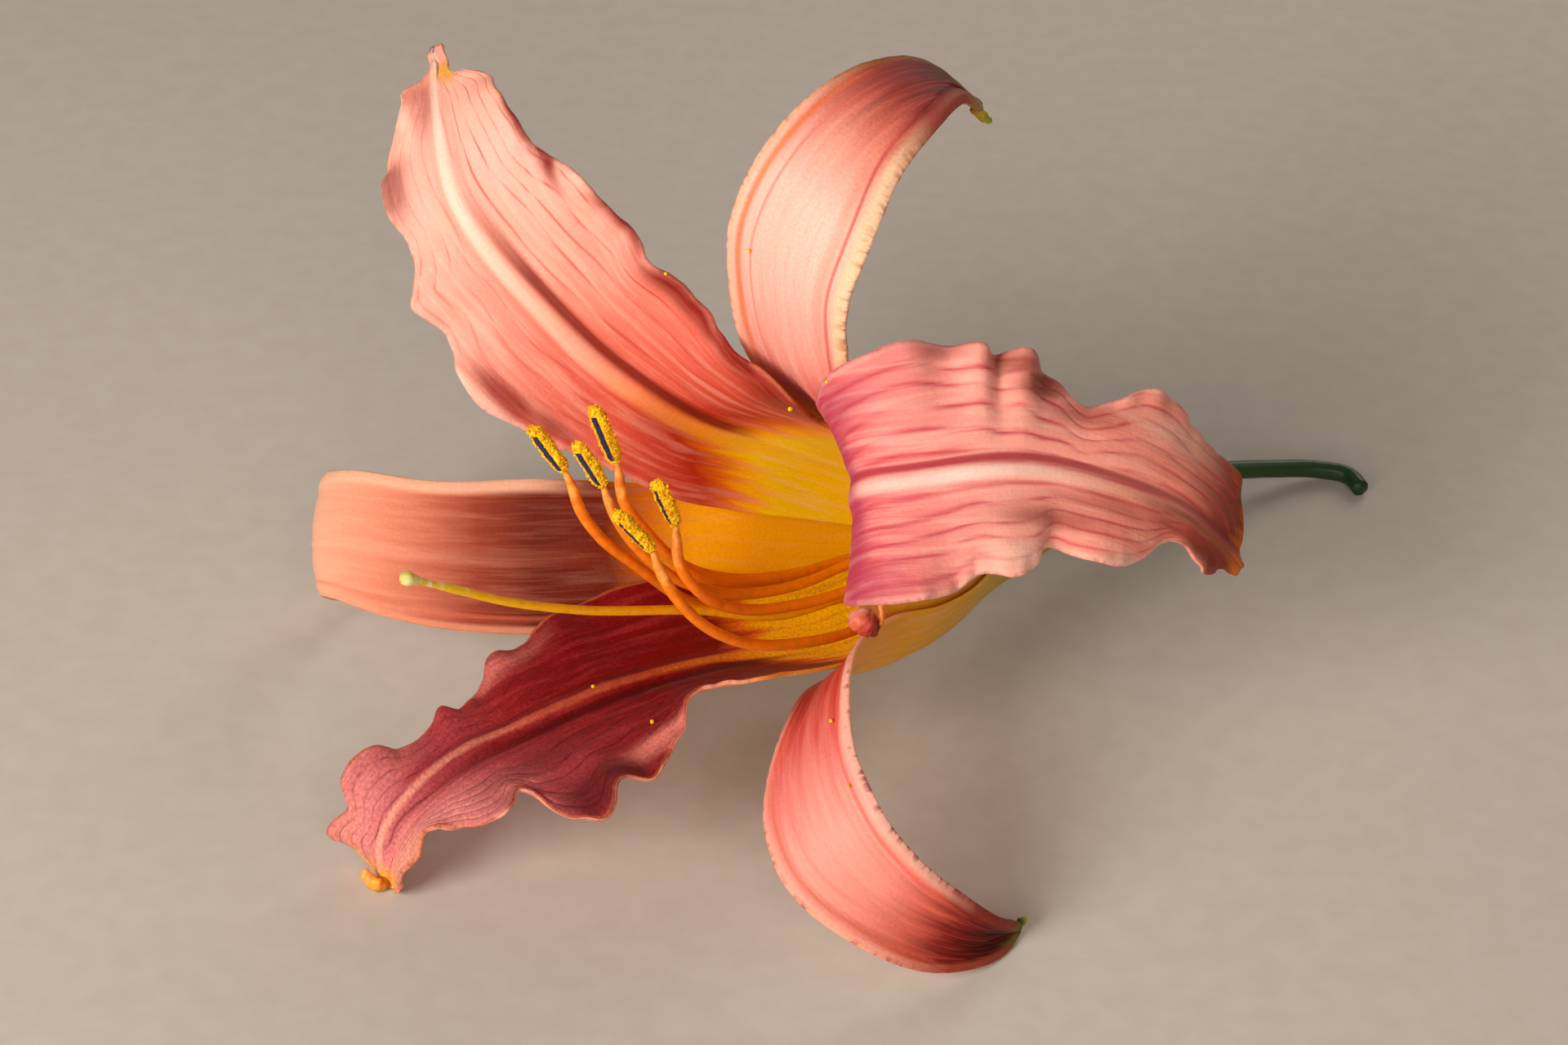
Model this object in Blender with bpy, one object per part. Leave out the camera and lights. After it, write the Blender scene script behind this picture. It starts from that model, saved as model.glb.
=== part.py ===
"""A daylily flower lying on its side: three ruffled petals, three sepals, six stamens,
a pistil, the flower tube and a short length of stalk. Sizes are in millimetres."""

import math

import bmesh
import bpy
import numpy as np
from mathutils import Matrix, Vector

MM = 0.001

# Where the flower lies. Its own frame has its origin at the rim of the throat and +Z out along its axis.
RIM_CENTRE = (-14.8, -9.9, 33.2)
AXIS_HEADING = 217.7
AXIS_RISE = 24.8
AXIS_TURN = 27.0

# The throat is a trumpet on a slightly sagging centre line. Heights run along the axis, 0 at the rim.
BASE_HEIGHT = -67.0
PETAL_THROAT = [(-47, 2.9, 0), (-38, 5.4, 0), (-30, 9.0, 0), (-22, 11.9, 0), (-12, 14.2, 0)]
SEPAL_THROAT = [(-47, 4.1, 0), (-38, 6.6, 0), (-30, 10.2, 0), (-22, 13.1, 0), (-12, 15.6, 0)]
SAG_HEIGHTS = [-67, -47, -34, -20, -8, 4, 14]
SAG_AMOUNTS = [-7.7, -1.4, 1.0, 1.7, 1.0, 0.2, 0.0]
SAG_AZIMUTH = 275
THROAT_END = 36
FREE_START = 56
# How far a blade goes round the throat to either side of its midrib, in degrees.
WIDEST_TURN = 57.5
ROUTE_STEPS = 600

# Blades. Thickness is at the midrib, and shrinks to the margin share at the edges.
BLADE_THICKNESS = 1.1
LAMINA_SHARE = 0.62
MARGIN_SHARE = 0.56
MIDRIB_SHARE = 0.12
WAVE_DEPTH = 2.2
GAP = 0.3

# Half widths of a blade at these shares of its length, on its clockwise and anticlockwise side.
SHARES = [0, 0.1, 0.2, 0.3, 0.4, 0.5, 0.6, 0.7, 0.8, 0.88, 0.94, 0.98, 1.0]

# A route holds (height, distance from the axis, sideways) along the midrib, after the throat.
# A section holds (share of length, fold and curl clockwise, fold and curl anticlockwise) in degrees.
# Waves hold (share of length, how far the margin stands out, how far it lifts to the inner side), with the
# clockwise side first.
BLADES = {
    "petal_upper_left": dict(
        azimuth=117,
        throat=PETAL_THROAT,
        route=[(-2, 16.2, 0), (7, 21.7, 0), (15, 29, 0), (21, 36.8, 0), (24.5, 45, 0), (24.5, 52, 0),
               (22, 62.5, 0)],
        section=[(0.45, 10, 36, 10, 36), (0.6, -5, 10, 20, 20), (0.8, -10, -5, 20, 0), (1, -5, 0, 10, 0)],
        clockwise=[2.65, 4.9, 7.6, 10.0, 11.8, 13.5, 14.2, 14.0, 12.2, 9.6, 6.8, 3.4, 1.2],
        anticlockwise=[2.75, 4.9, 7.6, 10.0, 11.8, 12.2, 13.4, 14.2, 13.0, 11.0, 8.0, 4.4, 1.2],
        waves=(
            [(0.34, 0, 0), (0.38, 0.8, -0.2), (0.42, 2.7, -0.6), (0.45, 3.7, -1.0), (0.475, 2.5, -1.2),
             (0.5, 0.4, -0.8), (0.55, -0.8, -1.6), (0.59, -1.1, -1.2), (0.63, -0.8, 1.0),
             (0.665, -1.3, -1.2), (0.7, -1.2, -0.6), (0.755, 0, 1.2), (0.785, -1.4, -0.6),
             (0.815, -2.2, -1.4), (0.85, -1.3, -0.6), (0.9, -0.3, 0.8), (0.93, -0.4, -0.4),
             (0.948, -2.0, 0), (0.963, -3.4, 0), (0.98, -2.1, 0), (1, 0, 0)],
            [(0.5, 0, 0), (0.56, 0.5, -0.5), (0.6, 0.9, 0.8), (0.64, 1.5, 1.8), (0.675, 0.5, 0.6),
             (0.715, -1.5, -1.0), (0.74, -0.6, 0.4), (0.753, -0.2, 0.8), (0.77, -2.0, 1.0), (0.8, -3.0, -0.6),
             (0.83, -2.3, 0.6), (0.86, -1.4, 0.2), (0.89, -0.6, -1.2), (0.92, -2.4, 0.6), (0.94, -3.4, 1.7),
             (0.953, -2.8, 1.9), (0.967, -4.2, 0.6), (0.98, -3.0, 0), (1, 0, 0)],
        ),
    ),
    "petal_right": dict(
        azimuth=2,
        throat=PETAL_THROAT,
        route=[(-4, 17, 2), (1, 20.5, 3), (2.5, 25.5, 4.5), (-2, 32, 6), (-13, 38.5, 6), (-28, 42.5, 2),
               (-39.5, 41.5, -4)],
        section=[(0.45, 0, 0, 5, 36), (0.6, 5, 0, 5, 0), (0.8, 5, -15, 5, -15), (1, 5, -10, 5, -10)],
        clockwise=[2.75, 4.9, 7.6, 10.0, 11.8, 13.5, 12.3, 10.6, 8.6, 6.4, 4.4, 3.0, 1.2],
        anticlockwise=[2.65, 4.9, 7.6, 10.0, 12.2, 14.5, 14.2, 12.0, 10.5, 9.0, 7.0, 4.0, 1.2],
        waves=(
            [(0.33, 0, 0), (0.38, -1.4, 0), (0.42, -2.3, 0), (0.46, -2.0, 0.3), (0.5, -0.8, 0.6),
             (0.56, 0.9, 1.0), (0.6, 0.8, -0.9), (0.635, -0.2, -0.6), (0.67, 0.9, 1.1), (0.7, 0.3, 0.5),
             (0.725, -1.5, -1.2), (0.755, -0.6, -0.6), (0.79, 0.2, 1.2), (0.83, 0.5, 0.6),
             (0.85, -0.1, -0.4), (0.875, -2.4, -1.0), (0.9, -2.4, 0.2), (0.925, -0.5, 1.0),
             (0.945, 0.2, 0.6), (0.968, -1.3, 0.2), (1, 0, 0)],
            [(0.36, 0, 0), (0.42, -1.2, 0), (0.47, -2.2, 0), (0.51, -1.4, 0), (0.54, -0.9, 0.2),
             (0.585, 0.4, 0.7), (0.625, -0.2, -1.3), (0.645, 0.3, 1.3), (0.662, -0.4, -1.4),
             (0.683, 0.7, 1.4), (0.705, -0.7, -1.4), (0.725, -1.4, -1.9), (0.748, -3.4, -1.0),
             (0.775, -2.0, 0.3), (0.81, 1.0, 1.0), (0.835, 1.3, 0.8), (0.87, 0.8, -0.4), (0.905, 1.0, -0.2),
             (0.95, 2.4, 0.4), (0.975, 1.6, 0), (1, 0, 0)],
        ),
    ),
    "petal_lower_left": dict(
        azimuth=240,
        throat=PETAL_THROAT,
        route=[(-2, 17.2, 0), (8, 21.8, 0), (17, 28.3, -0.5), (26, 36.5, -2), (28.5, 43, -3.2),
               (27, 49.5, -4)],
        section=[(0.45, 10, 36, 10, 36), (0.6, 5, 10, 10, 15), (0.8, 0, 0, 15, 0), (0.96, 26, 0, 18, 0),
                 (1, 6, 0, 4, 0)],
        clockwise=[2.75, 4.9, 7.6, 10.0, 11.5, 12.8, 13.0, 11.5, 10.5, 12.0, 11.0, 6.0, 1.2],
        anticlockwise=[2.75, 4.9, 7.6, 10.0, 11.0, 11.5, 14.0, 15.5, 12.5, 8.5, 5.5, 3.8, 1.2],
        waves=(
            [(0.5, 0, 0), (0.57, 0.8, -0.6), (0.61, 1.2, 0.8), (0.65, 1.9, -0.8), (0.7, 2.8, 1.0),
             (0.74, 1.3, -0.6), (0.775, 0, 0.4), (0.8, 0.6, 1.0), (0.825, -1.6, -0.6), (0.86, -3.2, -0.2),
             (0.89, -1.8, 0.8), (0.915, -2.2, 0.6), (0.935, -4.0, -0.8), (0.95, -1.8, 1.0),
             (0.965, -0.8, 0.8), (0.98, 0.9, 0.4), (1, 0, 0)],
            [(0.44, 0, 0), (0.49, 0.5, 0.3), (0.53, -2.0, 0.8), (0.56, -3.2, 1.0), (0.6, -0.6, -0.4),
             (0.63, 0.2, -0.8), (0.66, 1.2, -1.2), (0.69, 0.6, 0.6), (0.725, 2.4, -1.6), (0.755, 0.9, -0.8),
             (0.785, -4.3, 1.2), (0.8, -0.9, 1.8), (0.813, 0.4, 1.8), (0.83, -0.9, 0.6), (0.85, -3.4, -0.6),
             (0.87, -3.2, 0.6), (0.89, -3.8, 0.2), (0.92, -1.6, -0.6), (0.95, -1.0, 0.4),
             (0.975, -0.8, 0.2), (1, 0, 0)],
        ),
    ),
    "sepal_upper": dict(
        azimuth=60,
        throat=SEPAL_THROAT,
        route=[(-1, 20, 0), (6, 27, 0), (11, 36, 0), (11, 44, 0), (8, 51, 0), (2, 56, 0), (-4, 57.5, 0),
               (-10, 55.5, 0)],
        section=[(0.45, -18, 0, 0, 25), (0.6, -8, -5, 0, 5), (0.8, -10, -25, 5, -5), (1, -5, -25, 5, -5)],
        clockwise=[3.4, 4.6, 6.0, 7.2, 8.2, 8.8, 10.2, 10.6, 8.3, 6.0, 3.2, 1.8, 0.8],
        anticlockwise=[3.4, 4.6, 6.0, 7.2, 8.2, 9.0, 8.9, 8.2, 7.2, 6.6, 5.4, 3.0, 0.8],
    ),
    "sepal_lower": dict(
        azimuth=302,
        throat=SEPAL_THROAT,
        route=[(-4, 20, 0), (1.5, 27, 0), (4, 34, 0), (3.5, 41, 0), (-0.5, 46.5, 0), (-7, 50.5, 0),
               (-13, 52.3, 0), (-19, 51.7, 0)],
        section=[(0.45, 0, 25, 0, 25), (0.6, 0, 5, -8, -5), (0.8, 30, 20, -10, -25), (1, 50, 30, -5, -25)],
        clockwise=[3.4, 4.6, 6.0, 6.4, 4.9, 4.3, 7.7, 7.8, 6.5, 5.5, 3.4, 2.0, 0.8],
        anticlockwise=[3.4, 4.6, 6.0, 7.2, 7.6, 7.2, 6.4, 6.6, 5.6, 4.4, 3.0, 1.8, 0.8],
    ),
    "sepal_left": dict(
        azimuth=181,
        throat=SEPAL_THROAT,
        route=[(-4, 20, 1.5), (6, 30, 2.5), (14, 41, 2), (18, 50, 0.5), (15.5, 58.5, 0.5), (8, 64, 2),
               (0, 65.5, 3), (-6.5, 64.6, 3.5)],
        section=[(0.42, 0, 25, 0, 25), (0.56, 0, 5, 0, 5), (0.75, 0, -15, 0, -15), (0.93, 0, -25, 0, -25),
                 (1, 0, -25, 0, -25)],
        clockwise=[3.4, 4.7, 6.2, 7.4, 8.7, 9.5, 9.0, 8.8, 8.0, 5.8, 3.6, 1.8, 0.8],
        anticlockwise=[3.4, 4.7, 6.2, 7.4, 8.5, 9.1, 8.5, 7.3, 6.4, 5.4, 3.6, 1.8, 0.8],
    ),
}
LEAST_CURL = 0.001
RESTING = ("petal_lower_left", "sepal_lower", "sepal_left")
GROUND_SIZE = 300
PETAL_ROWS = (8, 38)
SEPAL_ROWS = (8, 22)
PETAL_COLUMNS = [-1, -0.86, -0.68, -0.48, -0.28, -0.11, 0, 0.11, 0.28, 0.48, 0.68, 0.86, 1]
SEPAL_COLUMNS = [-1, -0.8, -0.5, -0.2, 0, 0.2, 0.5, 0.8, 1]
ROWS_BEND = 0.42

# The tube: (height, outer radius) up the outside, then down the bore.
TUBE_OUTSIDE = [(-67.0, 2.7), (-61, 2.8), (-55, 3.3), (-51, 3.9), (-47.6, 4.5)]
TUBE_BORE = [(-47.6, 2.5), (-51, 2.35), (-55, 2.1), (-61, 1.9), (-67.0, 1.9)]
TUBE_SIDES = 20

# The stalk in the room's directions, measured from the rim's centre: (x, y, z, radius).
STALK = [(55.5, 49.0, -25.2, 1.35), (64.0, 54.9, -28.4, 1.2), (70, 58.3, -30.5, 1.15),
         (75.5, 59.8, -31.6, 1.15), (79.6, 59.2, -32.1, 1.15), (81.2, 55.7, -32.15, 1.1)]
STALK_NECK = [(0.0, 2.7), (1.2, 2.6), (3.2, 1.7)]
STALK_SIDES = 12
STALK_RINGS = 14

# The pistil: (height, radius) on the tube's centre line, then (height, across, up, radius) where it is free.
PISTIL_IN_TUBE = [(-66.6, 0.5), (-65.8, 1.1), (-63.0, 1.25), (-60.5, 0.9), (-58.5, 0.5), (-47, 0.5)]
PISTIL_FREE = [(-34, 0.0, -2.0, 0.5), (-20, 0.0, -6.2, 0.52), (-7, 0, -9.2, 0.55), (5, 0, -8.7, 0.55),
               (24, 0, -8.8, 0.52), (34, 0, -8.0, 0.5), (41, 0, -6.8, 0.5), (46.5, 0, -5.9, 0.55),
               (47.7, 0, -5.7, 0.85), (48.6, 0, -5.55, 0.6)]
PISTIL_SIDES = 8
STYLE_RINGS = 14

# Stamens: azimuth of the foot in the tube, the filament's (height, across, up) and the anther's two ends.
FOOT_HEIGHT = -49.0
FOOT_RADIUS = 1.45
STAMENS = [
    dict(foot=270, route=[(-34, -2.4, -3.6), (-20, -4.5, -7.5), (-8, -5.6, -9.0), (0.6, -6, -8.0),
                          (9.6, -6, -3.8), (15.8, -6, -0.2), (18.4, -6, 2.5), (19.6, -6, 5.0)],
         anther=[(20.7, -6, 6.6), (25.8, -6, 11.5)]),
    dict(foot=150, route=[(-34, -1.8, 0.8), (-20, -3.0, -2.6), (-8, -3.2, -5.2), (2, -3, -5.0),
                          (11.1, -3, 0.2), (14.6, -3, 3.8), (15.2, -3, 6.2)],
         anther=[(15.6, -3, 7.6), (19.4, -3, 14.0)]),
    dict(foot=90, route=[(-34, 0.6, 1.4), (-20, 0.5, -2.4), (-8, 0.3, -6.0), (3, 0.2, -6.6),
                         (13.5, 0.6, -3.2), (18.1, 0.4, 0.9), (19.6, 0, 3.6)],
         anther=[(20.2, 0, 4.9), (24.4, 0, 9.6)]),
    dict(foot=330, route=[(-34, 2.4, -4.2), (-20, 4.2, -9.4), (-8, 5.2, -12.0), (4.4, 5, -12.0),
                          (9.5, 5, -10.2), (14.5, 5, -6.3), (16.6, 5, -3.4)],
         anther=[(17.1, 5, -2.2), (22.9, 5, 2.0)]),
    dict(foot=30, route=[(-34, 2.8, -1.0), (-20, 3.4, -4.8), (-8, 2.8, -7.8), (1.7, 2.2, -8.4),
                         (6.8, 2.4, -7.1), (10.4, 2, -3.5), (10.9, 2, -0.4)],
         anther=[(11.0, 2, 0.8), (14.2, 2, 5.8)]),
    dict(foot=210, route=[(-34, -3.2, -0.8), (-20, -6.4, -3.6), (-8, -8.6, -5.0), (-1, -9, -3.8),
                          (5.8, -9, 0.3), (9.3, -9, 4.0), (9.9, -9, 6.6)],
         anther=[(10.2, -9, 8.0), (14.1, -9, 14.3)]),
]
FILAMENT_RADII = (0.48, 0.66)
FILAMENT_SIDES = 6
FILAMENT_RINGS = 17
# Shares of a filament's length between which it widens, and how wide its tip is.
FILAMENT_WIDENS = (0.2, 0.7)
FILAMENT_TIP = 0.7
ANTHER_GAP = 0.42
ANTHER_HALF_WIDTH = 1.15
ANTHER_HALF_DEPTH = 0.85
ANTHER_GROOVE = 0.28
ANTHER_SIDES = 10
# Share of an anther's length and how wide it is there.
ANTHER_PROFILE = [(0, 0.35), (0.04, 0.7), (0.14, 0.95), (0.3, 1), (0.5, 1), (0.7, 1), (0.86, 0.92),
                  (0.96, 0.65), (1, 0.3)]

COLOURS = {
    "petal": (0.80, 0.25, 0.20),
    "sepal": (0.85, 0.40, 0.27),
    "tube": (0.62, 0.47, 0.12),
    "stalk": (0.06, 0.12, 0.03),
    "pistil": (0.78, 0.50, 0.02),
    "filament": (0.86, 0.27, 0.03),
    "anther": (0.76, 0.50, 0.01),
}


def clear_scene():
    for obj in list(bpy.data.objects):
        bpy.data.objects.remove(obj, do_unlink=True)


def smooth(x, stations, values):
    """A curve through the values at the stations, read at x."""
    stations = np.asarray(stations, float)
    values = np.asarray(values, float)
    slopes = np.gradient(values, stations, axis=0)
    x = np.clip(x, stations[0], stations[-1])
    left = np.clip(np.searchsorted(stations, x) - 1, 0, len(stations) - 2)
    step = stations[left + 1] - stations[left]
    u = (x - stations[left]) / step
    if values.ndim > 1:
        u = u[:, None]
        step = step[:, None]
    ends = (1 + 2 * u) * (1 - u) ** 2 * values[left] + u ** 2 * (3 - 2 * u) * values[left + 1]
    return ends + step * u * (1 - u) * ((1 - u) * slopes[left] - u * slopes[left + 1])


def ease(x, start, end):
    u = np.clip((x - start) / (end - start), 0, 1)
    return u * u * (3 - 2 * u)


def unit(vectors):
    return vectors / np.linalg.norm(vectors, axis=-1, keepdims=True)


def lengths_along(points):
    return np.concatenate([[0], np.cumsum(np.linalg.norm(np.diff(points, axis=0), axis=1))])


def along_route(points, shares):
    """Points and directions at these shares of the length of a smooth curve through the points."""
    points = np.asarray(points, float)
    chords = lengths_along(points)
    fine = smooth(np.linspace(0, chords[-1], ROUTE_STEPS), chords, points)
    lengths = lengths_along(fine)
    slopes = unit(np.gradient(fine, lengths, axis=0))
    at = np.asarray(shares) * lengths[-1]
    placed = np.stack([np.interp(at, lengths, fine[:, k]) for k in range(points.shape[1])], -1)
    aimed = np.stack([np.interp(at, lengths, slopes[:, k]) for k in range(points.shape[1])], -1)
    return placed, unit(aimed), lengths[-1]


def centre_line(heights):
    """How far the throat's centre is from the flower's axis at these heights, as (across, up)."""
    sag = smooth(heights, SAG_HEIGHTS, SAG_AMOUNTS)
    turn = math.radians(SAG_AZIMUTH)
    return sag * math.cos(turn), sag * math.sin(turn)


def blade_sheet(blade, shares, columns):
    """The middle surface of a petal or sepal, as rows of (outwards, sideways, height) in its own plane."""
    route = [(out, side, height) for height, out, side in blade["throat"] + blade["route"]]
    rib, along, length = along_route(route, shares)
    half = [smooth(shares, SHARES, blade[key]) for key in ("clockwise", "anticlockwise")]
    for side, waves in enumerate(blade.get("waves", ())):
        stops, stand, lift = np.array(waves, float).T
        half[side] = half[side] + smooth(shares, stops, stand)
    half = [widths[:, None] for widths in half]
    sideways = np.zeros_like(rib)
    sideways[:, 1] = 1
    sideways = unit(sideways - (sideways * along).sum(-1, keepdims=True) * along)
    inwards = np.cross(along, sideways)
    section = np.array(blade["section"], float)
    angles = np.radians(smooth(shares, section[:, 0], section[:, 1:]))
    across = np.asarray(columns, float)[None, :]
    out = np.zeros((len(shares), len(columns)))
    lift = np.zeros_like(out)
    for side, sign in enumerate((-1, 1)):
        share = np.clip(sign * across, 0, 1)
        fold = angles[:, 2 * side][:, None]
        curl = angles[:, 2 * side + 1][:, None]
        curl = np.where(np.abs(curl) < LEAST_CURL, LEAST_CURL, curl)
        out += sign * half[side] * (np.sin(fold + curl * share) - np.sin(fold)) / curl
        lift += half[side] * (np.cos(fold) - np.cos(fold + curl * share)) / curl
    spread = rib[:, None, :] + sideways[:, None, :] * out[..., None] + inwards[:, None, :] * lift[..., None]
    radius, aside, height = rib.T
    width = np.where(across < 0, half[0], half[1]) * across
    widest = math.radians(WIDEST_TURN)
    turn = np.clip(width / radius[:, None], -widest, widest)
    rounded = np.stack([
        radius[:, None] * np.cos(turn),
        radius[:, None] * np.sin(turn) + aside[:, None],
        height[:, None] + 0 * turn,
    ], -1)
    free = ease(np.asarray(shares) * length, THROAT_END, FREE_START)[:, None, None]
    sag = smooth(height, SAG_HEIGHTS, SAG_AMOUNTS)
    turn = math.radians(SAG_AZIMUTH - blade["azimuth"])
    shift = np.stack([sag * math.cos(turn), sag * math.sin(turn), 0 * sag], -1)[:, None, :]
    return rounded * (1 - free) + spread * free + shift * (1 - free), length


def waved(sheet, blade, shares, columns):
    """The sheet with its margins lifted and dipped along their waves."""
    normals = unit(np.cross(np.gradient(sheet, axis=0), np.gradient(sheet, axis=1)))
    for sign, waves in zip((-1, 1), blade["waves"]):
        stops, stand, lift = np.array(waves, float).T
        edge = np.clip(sign * np.asarray(columns, float), 0, 1) ** WAVE_DEPTH
        sheet = sheet + normals * smooth(shares, stops, lift)[:, None, None] * edge[None, :, None]
    return sheet


def material(name, finish, roughness=0.55):
    made = bpy.data.materials.new(name)
    made.use_nodes = True
    shader = made.node_tree.nodes["Principled BSDF"]
    shader.inputs["Base Color"].default_value = (*COLOURS[finish], 1)
    shader.inputs["Roughness"].default_value = roughness
    shader.inputs["Metallic"].default_value = 0
    return made


def add_object(name, mesh, finish, parent=None, azimuth=0.0):
    obj = bpy.data.objects.new(name, mesh)
    bpy.context.scene.collection.objects.link(obj)
    mesh.materials.append(material(name, finish))
    mesh.shade_smooth()
    obj.parent = parent
    obj.rotation_euler.z = math.radians(azimuth)
    return obj


def add_blade(name, blade, flower):
    petal = "waves" in blade
    rows = PETAL_ROWS if petal else SEPAL_ROWS
    columns = PETAL_COLUMNS if petal else SEPAL_COLUMNS
    low = np.linspace(0, ROWS_BEND, rows[0], endpoint=False)
    shares = np.concatenate([low, np.linspace(ROWS_BEND, 1, rows[1] + 1)])
    sheet, length = blade_sheet(blade, shares, columns)
    if petal:
        sheet = waved(sheet, blade, shares, columns)
    wide = len(columns)
    mesh = bpy.data.meshes.new(name)
    faces = []
    for row in range(len(shares) - 1):
        for column in range(wide - 1):
            a = row * wide + column
            faces += [(a, a + 1, a + wide + 1), (a, a + wide + 1, a + wide)]
    mesh.from_pydata((sheet.reshape(-1, 3) * MM).tolist(), [], faces)
    obj = add_object(name, mesh, "petal" if petal else "sepal", flower, blade["azimuth"])
    group = obj.vertex_groups.new(name="thickness")
    for column, across in enumerate(columns):
        thick = MARGIN_SHARE + (LAMINA_SHARE - MARGIN_SHARE) * (1 - abs(across))
        thick += (1 - LAMINA_SHARE) * max(0.0, 1 - abs(across) / MIDRIB_SHARE)
        group.add([row * wide + column for row in range(len(shares))], thick, "REPLACE")
    wall = obj.modifiers.new("wall", "SOLIDIFY")
    wall.thickness = BLADE_THICKNESS * MM
    wall.offset = 0
    wall.vertex_group = group.name
    return obj


def loft(name, rings, closed_loop=False):
    """A mesh through rings of points: capped at both ends, or joined end to end as a hollow ring."""
    shape = bmesh.new()
    made = [[shape.verts.new(Vector(point) * MM) for point in ring] for ring in rings]
    pairs = list(zip(made, made[1:] + made[:1])) if closed_loop else list(zip(made, made[1:]))
    count = len(made[0])
    for lower, upper in pairs:
        for k in range(count):
            shape.faces.new((lower[k], lower[(k + 1) % count], upper[(k + 1) % count], upper[k]))
    if not closed_loop:
        shape.faces.new(list(reversed(made[0])))
        shape.faces.new(made[-1])
    bmesh.ops.recalc_face_normals(shape, faces=shape.faces)
    mesh = bpy.data.meshes.new(name)
    shape.to_mesh(mesh)
    shape.free()
    return mesh


def rings_along(points, directions, radii, sides, outline=None):
    """Rings of points square to a route, with an outline of (share across, share deep) or a circle."""
    across = np.cross(directions[0], (0.0, 0.0, 1.0))
    if np.linalg.norm(across) < 0.1:
        across = np.cross(directions[0], (0.0, 1.0, 0.0))
    rings = []
    turns = np.arange(sides) * 2 * math.pi / sides
    if outline is None:
        outline = np.stack([np.cos(turns), np.sin(turns)], -1)
    for point, direction, radius in zip(points, directions, radii):
        across = across - direction * across.dot(direction)
        across = across / np.linalg.norm(across)
        deep = np.cross(direction, across)
        rings.append(point + radius * (outline[:, :1] * across + outline[:, 1:] * deep))
    return rings


def add_tube(flower):
    rings = []
    turns = np.arange(TUBE_SIDES) * 2 * math.pi / TUBE_SIDES
    for height, radius in TUBE_OUTSIDE + TUBE_BORE:
        across, up = centre_line(np.array([float(height)]))
        ring = [(across[0] + radius * math.cos(t), up[0] + radius * math.sin(t), height) for t in turns]
        rings.append(ring)
    return add_object("flower_tube", loft("flower_tube", rings, closed_loop=True), "tube", flower)


def flower_frame():
    """The flower's frame in the room: its columns point across, up and out along the axis."""
    heading = math.radians(AXIS_HEADING)
    rise = math.radians(AXIS_RISE)
    out = Vector((math.cos(rise) * math.cos(heading), math.cos(rise) * math.sin(heading), math.sin(rise)))
    level = Vector((-math.sin(heading), math.cos(heading), 0))
    across = (Matrix.Rotation(math.radians(AXIS_TURN), 3, out) @ level).normalized()
    up = out.cross(across)
    frame = Matrix((across, up, out)).transposed().to_4x4()
    frame.translation = Vector(RIM_CENTRE) * MM
    return frame


def add_stalk(frame):
    """The stalk, with the seat of the flower at its top."""
    turn = frame.to_3x3()
    heights = np.array([BASE_HEIGHT - GAP - down for down, radius in STALK_NECK])
    across, up = centre_line(np.maximum(heights, BASE_HEIGHT))
    lean = (SAG_AMOUNTS[1] - SAG_AMOUNTS[0]) / (SAG_HEIGHTS[1] - SAG_HEIGHTS[0])
    past = BASE_HEIGHT - heights
    side = math.radians(SAG_AZIMUTH)
    across = across - past * lean * math.cos(side)
    up = up - past * lean * math.sin(side)
    points = [list(turn @ Vector(place)) for place in zip(across, up, heights)]
    radii = [radius for down, radius in STALK_NECK] + [radius for x, y, z, radius in STALK]
    points += [(x, y, z) for x, y, z, radius in STALK]
    points = np.array(points)
    chords = lengths_along(points)
    steps = np.concatenate([chords[:3], np.linspace(chords[3], chords[-1], STALK_RINGS)])
    placed, aimed, _ = along_route(points, steps / chords[-1])
    aimed[0] = -np.array(turn.col[2])
    widths = np.interp(steps, chords, radii)
    rings = rings_along(placed + np.array(RIM_CENTRE), aimed, widths, STALK_SIDES)
    mesh = loft("stalk", rings)
    return add_object("stalk", mesh, "stalk")


def add_pistil(flower):
    heights = np.array([height for height, radius in PISTIL_IN_TUBE], float)
    points = [list(place) for place in zip(*centre_line(heights), heights)]
    points = np.array(points + [(across, up, height) for height, across, up, radius in PISTIL_FREE])
    chords = lengths_along(points)
    steps = np.concatenate([chords[:5], np.linspace(chords[5], chords[-4], STYLE_RINGS), chords[-3:]])
    placed, aimed, _ = along_route(points, steps / chords[-1])
    radii = np.interp(steps, chords, [place[-1] for place in PISTIL_IN_TUBE + PISTIL_FREE])
    mesh = loft("pistil", rings_along(placed, aimed, radii, PISTIL_SIDES))
    return add_object("pistil", mesh, "pistil", flower)


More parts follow.
